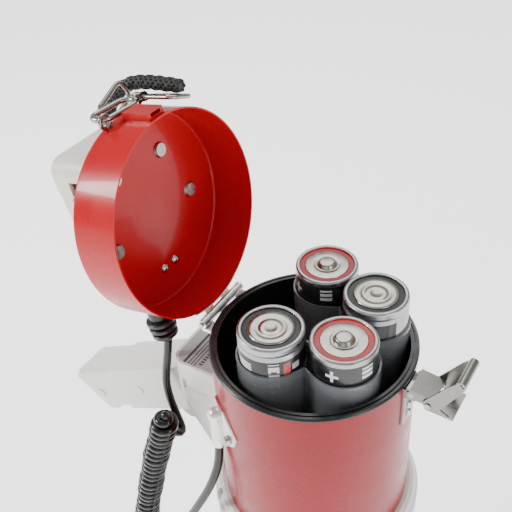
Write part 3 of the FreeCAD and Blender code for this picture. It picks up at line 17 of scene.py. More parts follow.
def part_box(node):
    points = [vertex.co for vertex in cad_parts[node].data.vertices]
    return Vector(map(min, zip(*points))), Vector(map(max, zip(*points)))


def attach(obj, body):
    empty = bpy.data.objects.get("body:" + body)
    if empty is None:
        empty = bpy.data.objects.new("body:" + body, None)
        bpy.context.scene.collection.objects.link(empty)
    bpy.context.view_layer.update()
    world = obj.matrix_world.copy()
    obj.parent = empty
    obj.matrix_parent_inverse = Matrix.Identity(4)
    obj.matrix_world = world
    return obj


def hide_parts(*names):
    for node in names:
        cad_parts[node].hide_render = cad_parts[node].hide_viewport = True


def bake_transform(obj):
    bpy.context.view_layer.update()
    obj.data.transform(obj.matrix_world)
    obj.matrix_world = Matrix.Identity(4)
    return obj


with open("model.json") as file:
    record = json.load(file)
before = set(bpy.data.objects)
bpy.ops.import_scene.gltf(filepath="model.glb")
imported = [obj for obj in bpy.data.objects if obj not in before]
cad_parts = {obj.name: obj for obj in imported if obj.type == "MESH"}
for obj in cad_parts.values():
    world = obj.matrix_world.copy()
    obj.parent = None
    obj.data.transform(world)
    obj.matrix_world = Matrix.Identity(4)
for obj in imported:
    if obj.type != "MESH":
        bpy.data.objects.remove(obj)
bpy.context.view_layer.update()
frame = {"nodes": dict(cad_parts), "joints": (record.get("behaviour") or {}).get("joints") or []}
nodes = frame["nodes"]
MM = 0.001
joints = {joint["name"]: joint for joint in frame["joints"]}
print("nodes:", len(nodes), "joints:", len(joints))

# %% [markdown]
# The frame's own numbers say where things are, so nothing here is typed twice.  The lid is
# drawn closed and then opened about the hinge; `on_lid` does the same turn for new pieces,
# so they can be described in the lid's own upright coordinates, in millimetres.

# %% Places that the frame gives
hinge = Vector(joints["lid_hinge"]["pos_m"])
open_angle = math.radians(joints["lid_hinge"]["range_deg"][1])
open_turn = (Matrix.Translation(hinge) @ Matrix.Rotation(-open_angle, 4, "Y")
             @ Matrix.Translation(-hinge))
rim_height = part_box("rim_ring")[1].z
barrel_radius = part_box("barrel_shell")[1].x


def on_lid(x, y, z):
    """A point of the closed lid, in millimetres above the rim, where the open lid has it."""
    return open_turn @ Vector((x * MM, y * MM, rim_height + z * MM))


print("rim at", round(rim_height, 4), "barrel radius", round(barrel_radius, 4))

# %% [markdown]
# The camera looks down at about 38 degrees from the right front, close enough for the near
# cells to look clearly larger than the far ones.  A short distance with a normal lens gives
# that, where a long lens from far away would flatten it.

# %% Camera
camera_data = bpy.data.cameras.new("camera")
camera = bpy.data.objects.new("camera", camera_data)
bpy.context.scene.collection.objects.link(camera)
camera.location = (0.1406, -0.2481, 0.5979)
camera.rotation_euler = Euler([math.radians(angle) for angle in (52.137, 2.551, 31.018)])
camera_data.sensor_width = 36.0
camera_data.lens = 53.71
camera_data.shift_x = -0.0376
camera_data.shift_y = -0.0057
camera_data.clip_start = 0.01
bpy.context.scene.camera = camera
print("camera at", tuple(round(value, 3) for value in camera.location))

# %% [markdown]
# The studio is a wide white floor under a white sky.  A broad lamp above and behind the lid, a
# bright window on the left and a weak fill on the right give glossy paint the long soft
# reflections that show how round it is.

# %% Floor and backdrop
floor_mesh = bpy.data.meshes.new("studio_floor")
floor = bpy.data.objects.new("studio_floor", floor_mesh)
bpy.context.scene.collection.objects.link(floor)
sweep = bmesh.new()
bmesh.ops.create_grid(sweep, x_segments=2, y_segments=2, size=6.0)
sweep.to_mesh(floor_mesh)
sweep.free()
floor_paint = bpy.data.materials.new("floor_paint")
floor_paint.use_nodes = True
floor_shader = floor_paint.node_tree.nodes["Principled BSDF"]
floor_shader.inputs["Base Color"].default_value = (0.95, 0.95, 0.95, 1)
floor_shader.inputs["Roughness"].default_value = 0.9
floor_shader.inputs["Emission Color"].default_value = (1, 1, 1, 1)
floor_shader.inputs["Emission Strength"].default_value = 1.6
floor_mesh.materials.append(floor_paint)
print("floor laid")

# %% Lamps


def lamp(name, place, target, size, power, size_y=None):
    """A rectangular soft lamp that points at a target."""
    data = bpy.data.lights.new(name, "AREA")
    data.shape = "RECTANGLE"
    data.size = size
    data.size_y = size_y or size
    data.energy = power
    item = bpy.data.objects.new(name, data)
    bpy.context.scene.collection.objects.link(item)
    item.location = place
    aim = Vector(target) - Vector(place)
    item.rotation_euler = aim.to_track_quat("-Z", "Y").to_euler()


subject = (0, 0, 0.32)
lamp("overhead_lamp", (-0.35, 0.55, 1.35), subject, 0.9, 8)
lamp("left_window", (-1.05, -0.62, 0.98), (-0.1, 0, 0.4), 0.30, 14, size_y=0.36)
lamp("right_fill", (1.25, -0.35, 0.65), subject, 0.3, 6, size_y=1.2)
lamp("front_fill", (0.45, -1.5, 0.9), subject, 0.9, 2)

world = bpy.data.worlds.new("studio_world")
bpy.context.scene.world = world
world.use_nodes = True
sky = world.node_tree.nodes["Background"]
sky.inputs["Color"].default_value = (1, 1, 1, 1)
sky.inputs["Strength"].default_value = 0.55
print("lamps:", len(bpy.data.lights))

# %% [markdown]
# Every finish is a Principled shader fed by small node groups of noise: one that mottles the
# colour a little, one that breaks up the gloss, and one that raises a fine grain as bump.
# A value that is the same all over stays on the shader's own socket.

# %% A small kit for shader nodes


class Shader:
    """A material being built: nodes are added by type and linked by name."""

    def __init__(self, name):
        self.material = bpy.data.materials.new(name)
        self.material.use_nodes = True
        self.tree = self.material.node_tree
        self.principled = self.tree.nodes["Principled BSDF"]
        self.place = self.add("ShaderNodeTexCoord").outputs["Object"]

    def add(self, kind, settings=None, **inputs):
        item = self.tree.nodes.new(kind)
        for key, value in (settings or {}).items():
            setattr(item, key, value)
        for key, value in inputs.items():
            self.feed(item.inputs[key.replace("_", " ")], value)
        return item

    def feed(self, socket, value):
        if isinstance(value, bpy.types.NodeSocket):
            self.tree.links.new(value, socket)
        else:
            socket.default_value = value

    def set(self, **inputs):
        for key, value in inputs.items():
            self.feed(self.principled.inputs[key.replace("_", " ")], value)

    def noise(self, scale, detail=2.0, vector=None):
        return self.add("ShaderNodeTexNoise", Vector=vector or self.place, Scale=scale,
                        Detail=detail).outputs["Fac"]

    def stretch(self, x, y, z):
        """The object's coordinates, scaled along each axis."""
        return self.add("ShaderNodeMapping", Vector=self.place,
                        Scale=(x, y, z)).outputs["Vector"]

    def span(self, value, low, high, start=0.35, end=0.65):
        item = self.add("ShaderNodeMapRange", Value=value)
        item.inputs["From Min"].default_value = start
        item.inputs["From Max"].default_value = end
        item.inputs["To Min"].default_value = low
        item.inputs["To Max"].default_value = high
        return item.outputs["Result"]

    def math(self, operation, first, second=0.0):
        item = self.add("ShaderNodeMath", {"operation": operation})
        self.feed(item.inputs[0], first)
        self.feed(item.inputs[1], second)
        return item.outputs[0]

    def mix(self, share, first, second):
        """Blend two colours."""
        item = self.add("ShaderNodeMix", {"data_type": "RGBA"})
        self.feed(item.inputs[0], share)
        self.feed(item.inputs[6], first)
        self.feed(item.inputs[7], second)
        return item.outputs[2]

    def bump(self, height, strength, distance):
        item = self.add("ShaderNodeBump", Height=height, Strength=strength,
                        Distance=distance)
        self.set(Normal=item.outputs["Normal"])


def shade(colour, factor):
    """A colour made lighter or darker, with full alpha."""
    return tuple(min(channel * factor, 1.0) for channel in colour[:3]) + (1.0,)


def grained(name, colour, rough=(0.3, 0.4), mottle=0.06, grain=400.0, depth=0.00004,
            metallic=0.0, coat=0.0, coat_rough=0.05, specular=0.5):
    """A finish with a mottled colour, an uneven gloss and a fine raised grain."""
    work = Shader(name)
    patches = work.noise(22.0, 3.0)
    work.set(Base_Color=work.mix(work.span(patches, 0.0, 1.0), shade(colour, 1 - mottle),
                                 shade(colour, 1 + mottle)),
             Roughness=work.span(work.noise(60.0, 4.0), *rough))
    work.set(Metallic=metallic, Coat_Weight=coat, Coat_Roughness=coat_rough,
             Specular_IOR_Level=specular)
    work.bump(work.noise(grain), 0.35, depth)
    return work.material


# %% [markdown]
# Red paint on a drawn steel barrel is a colour under a clear gloss.  The coat does the sharp
# reflections, and a slow, shallow waviness in the bump gives them the slight wobble of
# sprayed and baked paint.

# %% Red paint and red moulding


def red_finish(name, colour, coat, coat_rough, waviness):
    work = Shader(name)
    patches = work.noise(14.0, 3.0)
    speck = work.span(work.noise(900.0, 2.0), 0.0, 1.0, 0.68, 0.74)
    paint = work.mix(work.span(patches, 0.0, 1.0), shade(colour, 0.93), shade(colour, 1.06))
    work.set(Base_Color=work.mix(work.math("MULTIPLY", speck, 0.25), paint,
                                 shade(colour, 1.5)),
             Roughness=work.span(work.noise(45.0, 4.0), 0.22, 0.34))
    work.set(Coat_Weight=coat, Coat_Roughness=coat_rough, Specular_IOR_Level=0.2)
    work.bump(work.noise(14.0, 0.0), 0.1, waviness)
    return work.material


barrel_paint = red_finish("barrel_paint", (0.30, 0.003, 0.008), 0.12, 0.05, 0.0001)
lid_moulding = red_finish("lid_moulding", (0.50, 0.001, 0.006), 0.2, 0.06, 0.0002)

# %% [markdown]
# White and black plastics differ mostly in gloss: the handle is a smooth cream moulding, the
# horn is a little duller, and the trim round the barrel is a satin black.

# %% Plastics and rubber
cream = (0.80, 0.79, 0.75)
handle_plastic = grained("handle_plastic", cream, (0.22, 0.32), 0.015, 700.0, 0.00002)
box_plastic = grained("box_plastic", (0.82, 0.80, 0.69), (0.30, 0.42), 0.02, 600.0)
horn_plastic = grained("horn_plastic", (0.78, 0.77, 0.72), (0.34, 0.46), 0.02, 500.0)
trim_plastic = grained("trim_plastic", (0.012, 0.012, 0.013), (0.24, 0.36), 0.2, 500.0)
liner_plastic = grained("liner_plastic", (0.010, 0.009, 0.010), (0.35, 0.5), 0.25, 260.0)
trigger_plastic = grained("trigger_plastic", (0.45, 0.45, 0.46), (0.35, 0.5), 0.05, 800.0)
guard_rubber = grained("guard_rubber", (0.018, 0.018, 0.019), (0.55, 0.75), 0.2, 300.0,
                       0.0001)
relief_rubber = grained("relief_rubber", (0.010, 0.010, 0.011), (0.28, 0.4), 0.2, 600.0)
board_lacquer = grained("board_lacquer", (0.02, 0.15, 0.06), (0.25, 0.4), 0.15, 200.0)
cone_film = grained("cone_film", (0.32, 0.16, 0.05), (0.3, 0.45), 0.1, 350.0)

# %% [markdown]
# Bent sheet and wire are nickel plated.  Plated steel still shows the rolling of the sheet as
# fine lines along it, so its noise is stretched a hundred times along one axis.

# %% Metals


def rolled_metal(name, colour, rough, lines, metallic=1.0):
    """Plated sheet with fine lines along one direction."""
    work = Shader(name)
    streaks = work.noise(1.0, 3.0, work.stretch(*lines))
    work.set(Base_Color=work.mix(work.span(work.noise(30.0), 0.0, 1.0), shade(colour, 0.92),
                                 shade(colour, 1.05)),
             Roughness=work.span(streaks, *rough))
    work.set(Metallic=metallic, Anisotropic=0.3)
    work.bump(streaks, 0.08, 0.00002)
    return work.material


sheet_nickel = rolled_metal("sheet_nickel", (0.26, 0.25, 0.235), (0.26, 0.36), (60, 500, 60))
clamp_nickel = rolled_metal("clamp_nickel", (0.80, 0.79, 0.76), (0.26, 0.4), (500, 500, 40))
bright_nickel = rolled_metal("bright_nickel", (0.55, 0.53, 0.50), (0.12, 0.22), (200, 200, 200))
wire_nickel = rolled_metal("wire_nickel", (0.36, 0.34, 0.31), (0.2, 0.3), (300, 300, 300))
rivet_nickel = rolled_metal("rivet_nickel", (0.44, 0.42, 0.38), (0.22, 0.34), (120, 700, 120))
magnet_iron = rolled_metal("magnet_iron", (0.10, 0.10, 0.11), (0.4, 0.55), (80, 80, 400))

# %% [markdown]
# The sleeve round the cells is a thin smoky sheet.  Real transmission through two close walls
# is slow and noisy, so the sheet is a thin gloss film over a see-through share instead.

# %% Smoky sleeve


def smoky_sheet():
    work = Shader("smoky_sheet")
    cloud = work.noise(35.0, 3.0)
    work.set(Base_Color=work.mix(work.span(cloud, 0.0, 1.0), (0.17, 0.18, 0.19, 1),
                                 (0.21, 0.22, 0.235, 1)),
             Roughness=work.span(work.noise(70.0, 3.0), 0.12, 0.24),
             Alpha=work.span(cloud, 0.62, 0.70))
    work.set(Coat_Weight=0.4, Coat_Roughness=0.08)
    work.bump(work.noise(20.0, 0.0), 0.1, 0.0001)
    return work.material


smoky = smoky_sheet()

# %% [markdown]
# A carried-over CAD part only needs its slots filled.  One table says which finish goes on
# which part, grouped by finish.

# %% Finishes of the CAD parts
finishes = {
    barrel_paint: ["barrel_shell"],
    lid_moulding: ["lid_shell"],
    trim_plastic: ["rim_ring", "volume_wheel", "slide_switch"],
    liner_plastic: ["barrel_liner", "battery_floor", "mic_capsule", "trigger_switch"],
    smoky: ["battery_sleeve"],
    horn_plastic: ["horn_flange", "horn_bell", "inner_horn", "reflex_cup"],
    handle_plastic: ["handle_bracket", "grip_left", "grip_right"],
    box_plastic: ["mic_housing", "mic_cover"],
    trigger_plastic: ["trigger"],
    guard_rubber: ["mouth_guard"],
    relief_rubber: ["strain_relief", "cord_lead", "cord_curl", "cord_tail", "hand_strap"],
    board_lacquer: ["amplifier_board"],
    cone_film: ["driver_diaphragm"],
    magnet_iron: ["driver_magnet"],
    sheet_nickel: ["latch_base", "latch_arm", "latch_lever"],
    clamp_nickel: ["cable_clamp", "hinge_leaf_barrel", "hinge_leaf_lid"],
    bright_nickel: ["barrel_screws", "grip_screws", "clamp_screws", "lid_screws",
                    "barrel_rivets", "bridge_straps", "contact_springs", "trigger_spring"],
    rivet_nickel: ["lid_contacts", "arm_pin", "lever_pin", "hinge_pin"],
    wire_nickel: ["hook_eyelet", "snap_hook", "wire_ring", "strap_loop"],
}
for finish, names in finishes.items():
    for name in names:
        nodes[name].data.materials.clear()
        nodes[name].data.materials.append(finish)
print("CAD parts finished:", sum(len(names) for names in finishes.values()))

# %% [markdown]
# A curly cord is one line: a straight lead out of the strain relief, a tight helix, and a
# straight tail that runs back to the clamp on the barrel.  The helix isn't drawn by hand.
# Its axis is a smooth NURBS line, and a loop turns the strand round that axis.

# %% Helpers for lines


def smooth_line(points, name="route", closeness=24):
    """The evenly sampled run of a NURBS line that has these control points."""
    data = bpy.data.curves.new(name, "CURVE")
    data.dimensions = "3D"
    data.resolution_u = closeness
    spline = data.splines.new("NURBS")
    spline.points.add(len(points) - 1)
    for knot, place in zip(spline.points, points):
        knot.co = (*place, 1.0)
    spline.order_u = 3
    spline.use_endpoint_u = True
    holder = bpy.data.objects.new(name, data)
    mesh = bpy.data.meshes.new_from_object(holder)
    line = [vertex.co.copy() for vertex in mesh.vertices]
    bpy.data.objects.remove(holder)
    bpy.data.meshes.remove(mesh)
    bpy.data.curves.remove(data)
    return line


def length_of(line):
    return sum((b - a).length for a, b in zip(line, line[1:]))


def along(line, distance):
    """The point a distance down a line, and the line's direction there."""
    for a, b in zip(line, line[1:]):
        step = (b - a).length
        if distance <= step:
            break
        distance -= step
    way = (b - a).normalized()
    return a + way * distance, way


def frames(line, count):
    """Evenly spaced places on a line, each with two directions across it that never spin."""
    total = length_of(line)
    side = None
    result = []
    for number in range(count):
        place, way = along(line, min(total * number / (count - 1), total - 1e-9))
        if side is None:
            side = way.orthogonal().normalized()
        side = (side - way * side.dot(way)).normalized()
        result.append((place, side, way.cross(side)))
    return result


# %% [markdown]
# The lead drops from the strain relief, turns back up and ends at the coil's top.  The coil
# hangs down from there, and the tail climbs from its foot back to the clamp.  Only the coil
# is worked out: the lead and the tail are lists of given places, in metres.

# %% Cord route
strand = 0.0050
coil_radius = 0.0059
coil_pitch = 0.0052
points_per_turn = 14
cord_exit = on_lid(-80.2, -14.0, 34.5)
lead_route = [
    cord_exit, (-0.0890, -0.0156, 0.2810), (-0.0902, -0.0178, 0.2700),
    (-0.0910, -0.0196, 0.2595), (-0.0887, -0.0218, 0.2516), (-0.0856, -0.0235, 0.2454),
    (-0.0822, -0.0250, 0.2396), (-0.0784, -0.0264, 0.2340), (-0.0752, -0.0292, 0.2318),
    (-0.0756, -0.0334, 0.2342), (-0.0796, -0.0376, 0.2426)]
coil_axis = [
    (-0.0768, -0.0390, 0.2557), (-0.0789, -0.0390, 0.2485), (-0.0831, -0.0390, 0.2353),
    (-0.0897, -0.0393, 0.2163), (-0.0946, -0.0398, 0.1994), (-0.0994, -0.0404, 0.1820),
    (-0.1043, -0.0412, 0.1629), (-0.1082, -0.0420, 0.1468), (-0.1124, -0.0432, 0.1250),
    (-0.1154, -0.0446, 0.1000), (-0.1166, -0.0464, 0.0740)]
tail_route = [
    (-0.0345, -0.0449, 0.2634), (-0.0348, -0.0458, 0.2537), (-0.0358, -0.0478, 0.2441),
    (-0.0380, -0.0500, 0.2350), (-0.0419, -0.0520, 0.2235), (-0.0472, -0.0542, 0.2115),
    (-0.0538, -0.0560, 0.1970), (-0.0624, -0.0574, 0.1790), (-0.0730, -0.0588, 0.1570),
    (-0.0830, -0.0598, 0.1330), (-0.0910, -0.0604, 0.1090), (-0.0962, -0.0606, 0.0860),
    (-0.0976, -0.0604, 0.0660), (-0.0996, -0.0588, 0.0540), (-0.1040, -0.0556, 0.0472),
    (-0.1098, -0.0514, 0.0466), (-0.1144, -0.0480, 0.0520), (-0.1164, -0.0466, 0.0620)]


lead_in_turns = 1.4
run_out_turns = 0.6


def coil_points():
    """The strand's turns round the coil's axis, drawn in to the axis at both ends."""
    axis = smooth_line(coil_axis)
    turns = length_of(axis) / coil_pitch
    count = int(turns * points_per_turn)
    places = []
    for number, (middle, side, across) in enumerate(frames(axis, count)):
        turn = number / points_per_turn
        ends = min(turn / lead_in_turns, (turns - turn) / run_out_turns)
        loose = 1.0 + 0.05 * math.sin(turn * 0.9) + 0.03 * math.sin(turn * 2.3)
        reach = coil_radius * min(ends, 1.0) * (loose if ends > 2 else 1.0)
        angle = 2 * math.pi * turn
        places.append(middle + (side * math.cos(angle) + across * math.sin(angle)) * reach)
    print("coil turns:", round(turns, 1))
    return places


def tube_mesh(name, points, diameter, material, roundness=3):
    """A round cord as a mesh: a bevelled NURBS line of one open spline, made solid."""
    data = bpy.data.curves.new(name, "CURVE")
    data.dimensions = "3D"
    data.bevel_depth = diameter / 2
    data.bevel_resolution = roundness
    data.resolution_u = 2
    data.use_fill_caps = True
    spline = data.splines.new("NURBS")
    spline.points.add(len(points) - 1)
    for knot, place in zip(spline.points, points):
        knot.co = (*place, 1.0)
    spline.order_u = 3
    spline.use_endpoint_u = True
    spline.use_smooth = True
    holder = bpy.data.objects.new(name + "_line", data)
    bpy.context.scene.collection.objects.link(holder)
    bpy.context.view_layer.update()
    ready = holder.evaluated_get(bpy.context.evaluated_depsgraph_get())
    mesh = bpy.data.meshes.new_from_object(ready)
    bpy.data.objects.remove(holder)
    mesh.materials.clear()
    mesh.materials.append(material)
    item = bpy.data.objects.new(name, mesh)
    bpy.context.scene.collection.objects.link(item)
    return item


# %% [markdown]
# The jacket is soft vinyl with a wet gloss.  Only its grain is rough, so the lamps leave a
# bright line on every turn.

# %% The curly cord
jacket = grained("cord_jacket", (0.003, 0.003, 0.003), (0.14, 0.24), 0.25, 500.0, 0.00002)
inside_coil = [(-0.0796, -0.0388, 0.2470), (-0.0776, -0.0390, 0.2530)]
cord_points = lead_route + inside_coil + coil_points() + tail_route[::-1]
curly_cord = tube_mesh("curly_cord", cord_points, strand, jacket)
cord_line = smooth_line(cord_points, closeness=2)
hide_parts("cord_lead", "cord_curl", "cord_tail")
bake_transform(curly_cord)

# %% [markdown]
# A D cell is turned: a tin disc and a sealing ring held by a rolled crimp at each end, and
# a printed sleeve between.  Spinning one half section gives every ring its true edge.

# %% A lathe


def new_piece(name, mesh_maker, materials, sharp=math.radians(32)):
    """Run a bmesh recipe and give back its object, smooth but for its real edges."""
    work = bmesh.new()
    mesh_maker(work)
    bmesh.ops.remove_doubles(work, verts=work.verts, dist=1e-6)
    bmesh.ops.recalc_face_normals(work, faces=work.faces)
    mesh = bpy.data.meshes.new(name)
    for face in work.faces:
        face.smooth = True
    work.to_mesh(mesh)
    work.free()
    mesh.set_sharp_from_angle(angle=sharp)
    for material in materials:
        mesh.materials.append(material)
    item = bpy.data.objects.new(name, mesh)
    bpy.context.scene.collection.objects.link(item)
    return item


def lathe(work, section, steps=72):
    """Spin a half section of (radius, height) pairs, in millimetres, round the Z axis."""
    corners = [work.verts.new((radius * MM, 0, height * MM)) for radius, height in section]
    edges = [work.edges.new(pair) for pair in zip(corners, corners[1:])]
    bmesh.ops.spin(work, geom=corners + edges, cent=(0, 0, 0), axis=(0, 0, 1),
                   angle=2 * math.pi, steps=steps, use_merge=True)


# %% [markdown]
# The printed sleeve of a cell is one picture wrapped round it, so it needs its own UV map:
# across is the turn round the cell and up is the distance from its plus end.  The picture is
# built from small windows in that map, so it stays sharp at any distance.

# %% Cell finishes


def cell_label():
    """Black and silver printed film with generic marks: a plus, bars and a red patch."""
    work = Shader("cell_label")
    picture = work.add("ShaderNodeUVMap", {"uv_map": "wrap"}).outputs["UV"]
    split = work.add("ShaderNodeSeparateXYZ", Vector=picture)
    turn, height = split.outputs["X"], split.outputs["Y"]

    def window(left, right, low, high):
        across = work.math("MULTIPLY", work.math("GREATER_THAN", turn, left),
                           work.math("LESS_THAN", turn, right))
        up = work.math("MULTIPLY", work.math("GREATER_THAN", height, low),
                       work.math("LESS_THAN", height, high))
        return work.math("MULTIPLY", across, up)

    def blocks(period, filled, source=height):
        """A row of small blocks: on for part of each period."""
        return work.math("LESS_THAN", work.math("MODULO", source, period), filled)

    silver = (0.42, 0.42, 0.43, 1)
    black = (0.008, 0.008, 0.010, 1)
    white = (0.80, 0.80, 0.80, 1)
    band = work.math("MAXIMUM", window(-1, 2, 4.2, 18.0), window(0.02, 0.66, 43.5, 54.0))
    colour = work.mix(band, silver, black)
    plus = work.math("MAXIMUM", window(0.47, 0.53, 10.2, 11.8), window(0.493, 0.507, 7.6, 14.4))
    marks = work.math("MAXIMUM", plus, work.math("MULTIPLY", window(0.64, 0.70, 6.5, 14.5),
                                                 blocks(2.9, 1.9)))
    column = work.math("MULTIPLY", window(0.225, 0.275, 20.0, 52.6), blocks(5.2, 4.0))
    comb = work.math("MULTIPLY", window(0.236, 0.264, 21.0, 51.0), blocks(5.2, 1.1))
    column = work.math("MULTIPLY", column, work.math("SUBTRACT", 1.0, comb))
    marks = work.math("MAXIMUM", marks, column)
    small = work.math("MULTIPLY", window(0.36, 0.44, 45.5, 50.5), blocks(1.7, 1.0))
    small = work.math("MAXIMUM", small, work.math("MULTIPLY", window(0.12, 0.16, 46.0, 50.0),
                                                  blocks(1.5, 0.9)))
    far_side = work.math("MULTIPLY", window(0.74, 0.80, 22.0, 50.0), blocks(4.4, 3.2))
    marks = work.math("MAXIMUM", marks, work.math("MAXIMUM", small, far_side))
    colour = work.mix(marks, colour, white)
    colour = work.mix(window(0.17, 0.205, 44.5, 52.0), colour, (0.55, 0.03, 0.03, 1))
    colour = work.mix(window(0.168, 0.2, 22.0, 42.5), colour, (0.62, 0.60, 0.42, 1))
    colour = work.mix(window(0.60, 0.72, 20.0, 24.0), colour, (0.62, 0.16, 0.20, 1))
    metal = work.math("MULTIPLY", work.math("SUBTRACT", 1.0, work.math("MAXIMUM", band, marks)),
                      0.85)
    scuffs = work.noise(55.0, 5.0)
    work.set(Base_Color=colour, Metallic=metal, Roughness=work.span(scuffs, 0.24, 0.44))
    work.set(Coat_Weight=0.4, Coat_Roughness=0.12)
    work.bump(work.noise(400.0, 1.0), 0.1, 0.00002)
    return work.material


cell_print = cell_label()
cell_steel = rolled_metal("cell_steel", (0.40, 0.38, 0.335), (0.2, 0.32), (250, 250, 250))
cell_crimp = rolled_metal("cell_crimp", (0.40, 0.40, 0.40), (0.26, 0.40), (300, 300, 300))
seal_red = grained("seal_red", (0.42, 0.006, 0.006), (0.28, 0.4), 0.06, 500.0, 0.00002)
seal_black = grained("seal_black", (0.004, 0.005, 0.005), (0.35, 0.5), 0.1, 500.0, 0.00002)

# %% [markdown]
# Each cell is spun upright from one half section, its faces are sorted by radius and height
# into label, tin, crimp and seal, and then it is turned so that its print faces the right way.
# The two cells of a column stand one on the other, and columns b and d stand minus end up.

# %% The cells
cell_length = 61.5
LABEL, STEEL, CRIMP, RED_SEAL, BLACK_SEAL = range(5)
plus_end = [
    (0.0, 1.6), (3.0, 1.6), (4.1, 1.45), (4.6, 0.9), (4.75, -0.4), (5.3, -0.85), (6.2, -0.9),
    (6.9, -0.55), (7.6, -0.5), (9.6, -0.55), (11.3, -0.75), (11.55, -1.15)]
minus_end = [
    (0.0, -0.35), (2.4, -0.35), (3.0, -0.05), (5.4, -0.05), (6.0, -0.45), (7.2, -0.45),
    (7.9, -0.08), (11.0, -0.08), (11.55, -0.55)]
crimp_edge = [
    (11.7, -0.95), (14.2, -0.95), (14.35, -0.3), (14.8, 0.0), (15.6, 0.0), (16.2, -0.18),
    (16.62, -0.6), (16.78, -1.3), (16.7, -2.2), (16.8, -3.0)]
groove = [(16.8, -4.4), (16.62, -4.65), (16.62, -4.95), (16.8, -5.2)]


def cell_section():
    """The half section of a cell, from the plus end's middle to the minus end's middle."""
    top = [(radius, cell_length - 1.6 + height) for radius, height in plus_end + crimp_edge]
    low = [(radius, -height) for radius, height in minus_end + crimp_edge + groove]
    return top + low[::-1]


def make_cell(work):
    lathe(work, cell_section())
    wrap = work.loops.layers.uv.new("wrap")
    for face in work.faces:
        middle = face.calc_center_median() / MM
        radius = math.hypot(middle.x, middle.y)
        plus = middle.z > cell_length / 2
        if radius < 11.6:
            face.material_index = STEEL
        elif radius < 14.3:
            face.material_index = RED_SEAL if plus else BLACK_SEAL
        elif middle.z < 3.2 or middle.z > cell_length - 4.4:
            face.material_index = CRIMP
        else:
            face.material_index = LABEL
        turn = math.atan2(middle.y, middle.x) / (2 * math.pi) % 1.0
        for loop in face.loops:
            place = loop.vert.co
            own = math.atan2(place.y, place.x) / (2 * math.pi) % 1.0
            own += round(turn - own)
            loop[wrap].uv = (own, cell_length - place.z / MM)


label_turns = {"a": 55.0, "b": -20.0, "c": 97.0, "d": 34.0}
cell_finishes = [cell_print, cell_steel, cell_crimp, seal_red, seal_black]
for column, turn in label_turns.items():
    for level in ("upper", "lower"):
        node = "cell_%s_%s" % (column, level)
        low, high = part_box(node)
        plus_up = column in "ac"
        upright = new_piece("printed_" + node, make_cell, cell_finishes, math.radians(50))
        turned = Matrix.Rotation(math.radians(turn), 4, "Z")
        middle = Vector(((low.x + high.x) / 2, (low.y + high.y) / 2, low.z))
        if not plus_up:
            turned = turned @ Matrix.Rotation(math.pi, 4, "X")
            middle.z = high.z
        upright.data.transform(Matrix.Translation(middle) @ turned)
        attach(upright, "cells_" + column)
        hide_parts(node)
print("cells made:", 2 * len(label_turns))

# %% [markdown]
# The strain relief is a rubber boot with three fins.  It is turned like the cells, then laid
# along the cord's way out of the housing and swung open with the lid.

# %% Strain relief
relief_start = on_lid(-50.0, -14.0, 34.5)
relief_section = [
    (0.0, -3.4), (3.0, -3.4), (3.0, 0.05), (5.9, 0.05), (6.2, 0.6), (6.2, 12.4), (5.5, 12.6),
    (5.4, 13.9), (8.0, 14.2), (8.5, 14.7), (8.5, 16.3), (8.0, 16.8), (5.3, 17.1), (5.2, 18.4),
    (7.6, 18.7), (8.1, 19.2), (8.1, 20.8), (7.6, 21.3), (5.1, 21.6), (5.0, 22.8), (7.1, 23.1),
    (7.6, 23.6), (7.6, 25.3), (7.2, 25.9), (5.2, 27.4), (3.7, 28.9), (3.4, 29.3), (0.0, 29.3)]
relief = new_piece("relief_boot", lambda work: lathe(work, relief_section, 40), [relief_rubber])
relief.data.transform(Matrix.Translation(relief_start) @ open_turn.to_3x3().to_4x4()
                      @ Matrix.Rotation(-math.pi / 2, 4, "Y"))
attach(relief, "lid")
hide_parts("strain_relief")
print("relief starts at", tuple(round(value, 4) for value in relief_start))

# %% [markdown]
# The hand strap is a round braid: twelve strands wind round a core, half each way.  Each
# strand's radius swings in and out as it turns, so that it rises over and dips under others.

# %% Braided strap
strap_route = [on_lid(*place) for place in (
    (60.4, 22.4, 2.4), (61.2, 23.2, 14.0), (61.9, 24.0, 26.0), (61.2, 24.2, 37.5),
    (57.0, 24.0, 48.0), (49.4, 23.0, 56.6), (39.4, 21.4, 62.0), (27.6, 19.4, 64.4),
    (14.6, 17.4, 64.2), (1.6, 15.4, 62.0), (-10.0, 12.8, 57.6), (-29.0, 10.0, 55.0),
    (-38.0, 10.0, 55.0))]
strap_line = smooth_line(strap_route, closeness=8)
strap_length = length_of(strap_line)
strap_radius = 0.0040
thread = 0.0019
thread_middle = strap_radius - 0.00115
weave_depth = 0.0003
braid_pitch = 0.021
crossing = 0.0035
print("strap length:", round(strap_length, 3), "m")


def strand_points(number, way, line, count):
    """One strand of the braid: a helix whose radius swings over and under its neighbours."""
    places = []
    for index, (middle, side, across) in enumerate(frames(line, count)):
        distance = strap_length * index / (count - 1)
        share = min(index, count - 1 - index) / 6
        turn = way * distance / braid_pitch + number / 6
        weave = math.sin(2 * math.pi * (distance / crossing + number / 2)) * way
        radius = (thread_middle + weave_depth * weave) * (0.86 + 0.14 * min(share, 1.0))
        angle = 2 * math.pi * turn
        places.append(middle + (side * math.cos(angle) + across * math.sin(angle)) * radius)
    return places


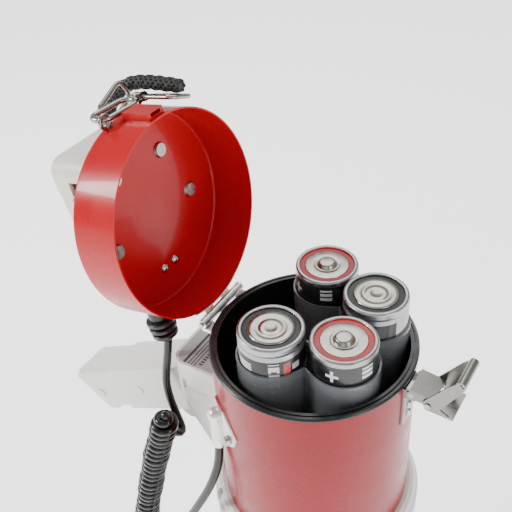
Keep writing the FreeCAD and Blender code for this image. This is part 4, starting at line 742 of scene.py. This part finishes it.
def braid(name, line, material):
    work = bmesh.new()
    parts = [tube_mesh(name + "_core", line[::4] + line[-1:], 2 * strap_radius - 0.0026,
                       material, roundness=2)]
    for way in (1, -1):
        for number in range(6):
            points = strand_points(number, way, line, 170)
            parts.append(tube_mesh("%s_%d" % (name, number), points, thread, material, 1))
    for part in parts:
        work.from_mesh(part.data)
        bpy.data.objects.remove(part)
    mesh = bpy.data.meshes.new(name)
    work.to_mesh(mesh)
    work.free()
    mesh.materials.append(material)
    item = bpy.data.objects.new(name, mesh)
    bpy.context.scene.collection.objects.link(item)
    return item


braid_thread = grained("braid_thread", (0.010, 0.010, 0.011), (0.5, 0.7), 0.3, 1500.0, 0.00012)
braided_strap = braid("braided_strap", strap_line, braid_thread)
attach(braided_strap, "lid")
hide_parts("hand_strap")

# %% [markdown]
# Panel print lies on a flat face, so it is a pattern on object coordinates: one thick and
# three thin stripes across the panel, and a row of plain bars where printed words would be.

# %% Printed panel


def striped_panel():
    work = Shader("striped_panel")
    split = work.add("ShaderNodeSeparateXYZ", Vector=work.place)
    x, y = split.outputs["X"], split.outputs["Y"]

    def stripe(middle, width):
        return work.math("LESS_THAN", work.math("ABSOLUTE", work.math("SUBTRACT", x, middle)),
                         width / 2)

    ink = stripe(-0.0772, 0.0017)
    for middle in (-0.0744, -0.0724, -0.0704):
        ink = work.math("MAXIMUM", ink, stripe(middle, 0.0007))
    bars = work.math("MULTIPLY", stripe(-0.0674, 0.0024),
                     work.math("LESS_THAN", work.math("MODULO", work.math("ADD", y, 0.1), 0.0021),
                               0.0013))
    bars = work.math("MULTIPLY", bars, work.math("LESS_THAN", y, -0.004))
    bars = work.math("MULTIPLY", bars, work.math("GREATER_THAN", y, -0.0145))
    ink = work.math("MAXIMUM", ink, bars)
    work.set(Base_Color=work.mix(ink, (0.36, 0.37, 0.38, 1), (0.02, 0.02, 0.035, 1)),
             Roughness=work.span(work.noise(60.0, 3.0), 0.4, 0.55))
    work.bump(work.noise(900.0), 0.3, 0.00003)
    return work.material


nodes["bracket_panel"].data.materials.clear()
nodes["bracket_panel"].data.materials.append(striped_panel())
print("panel printed")

# %% [markdown]

# %% End
print("script finished")
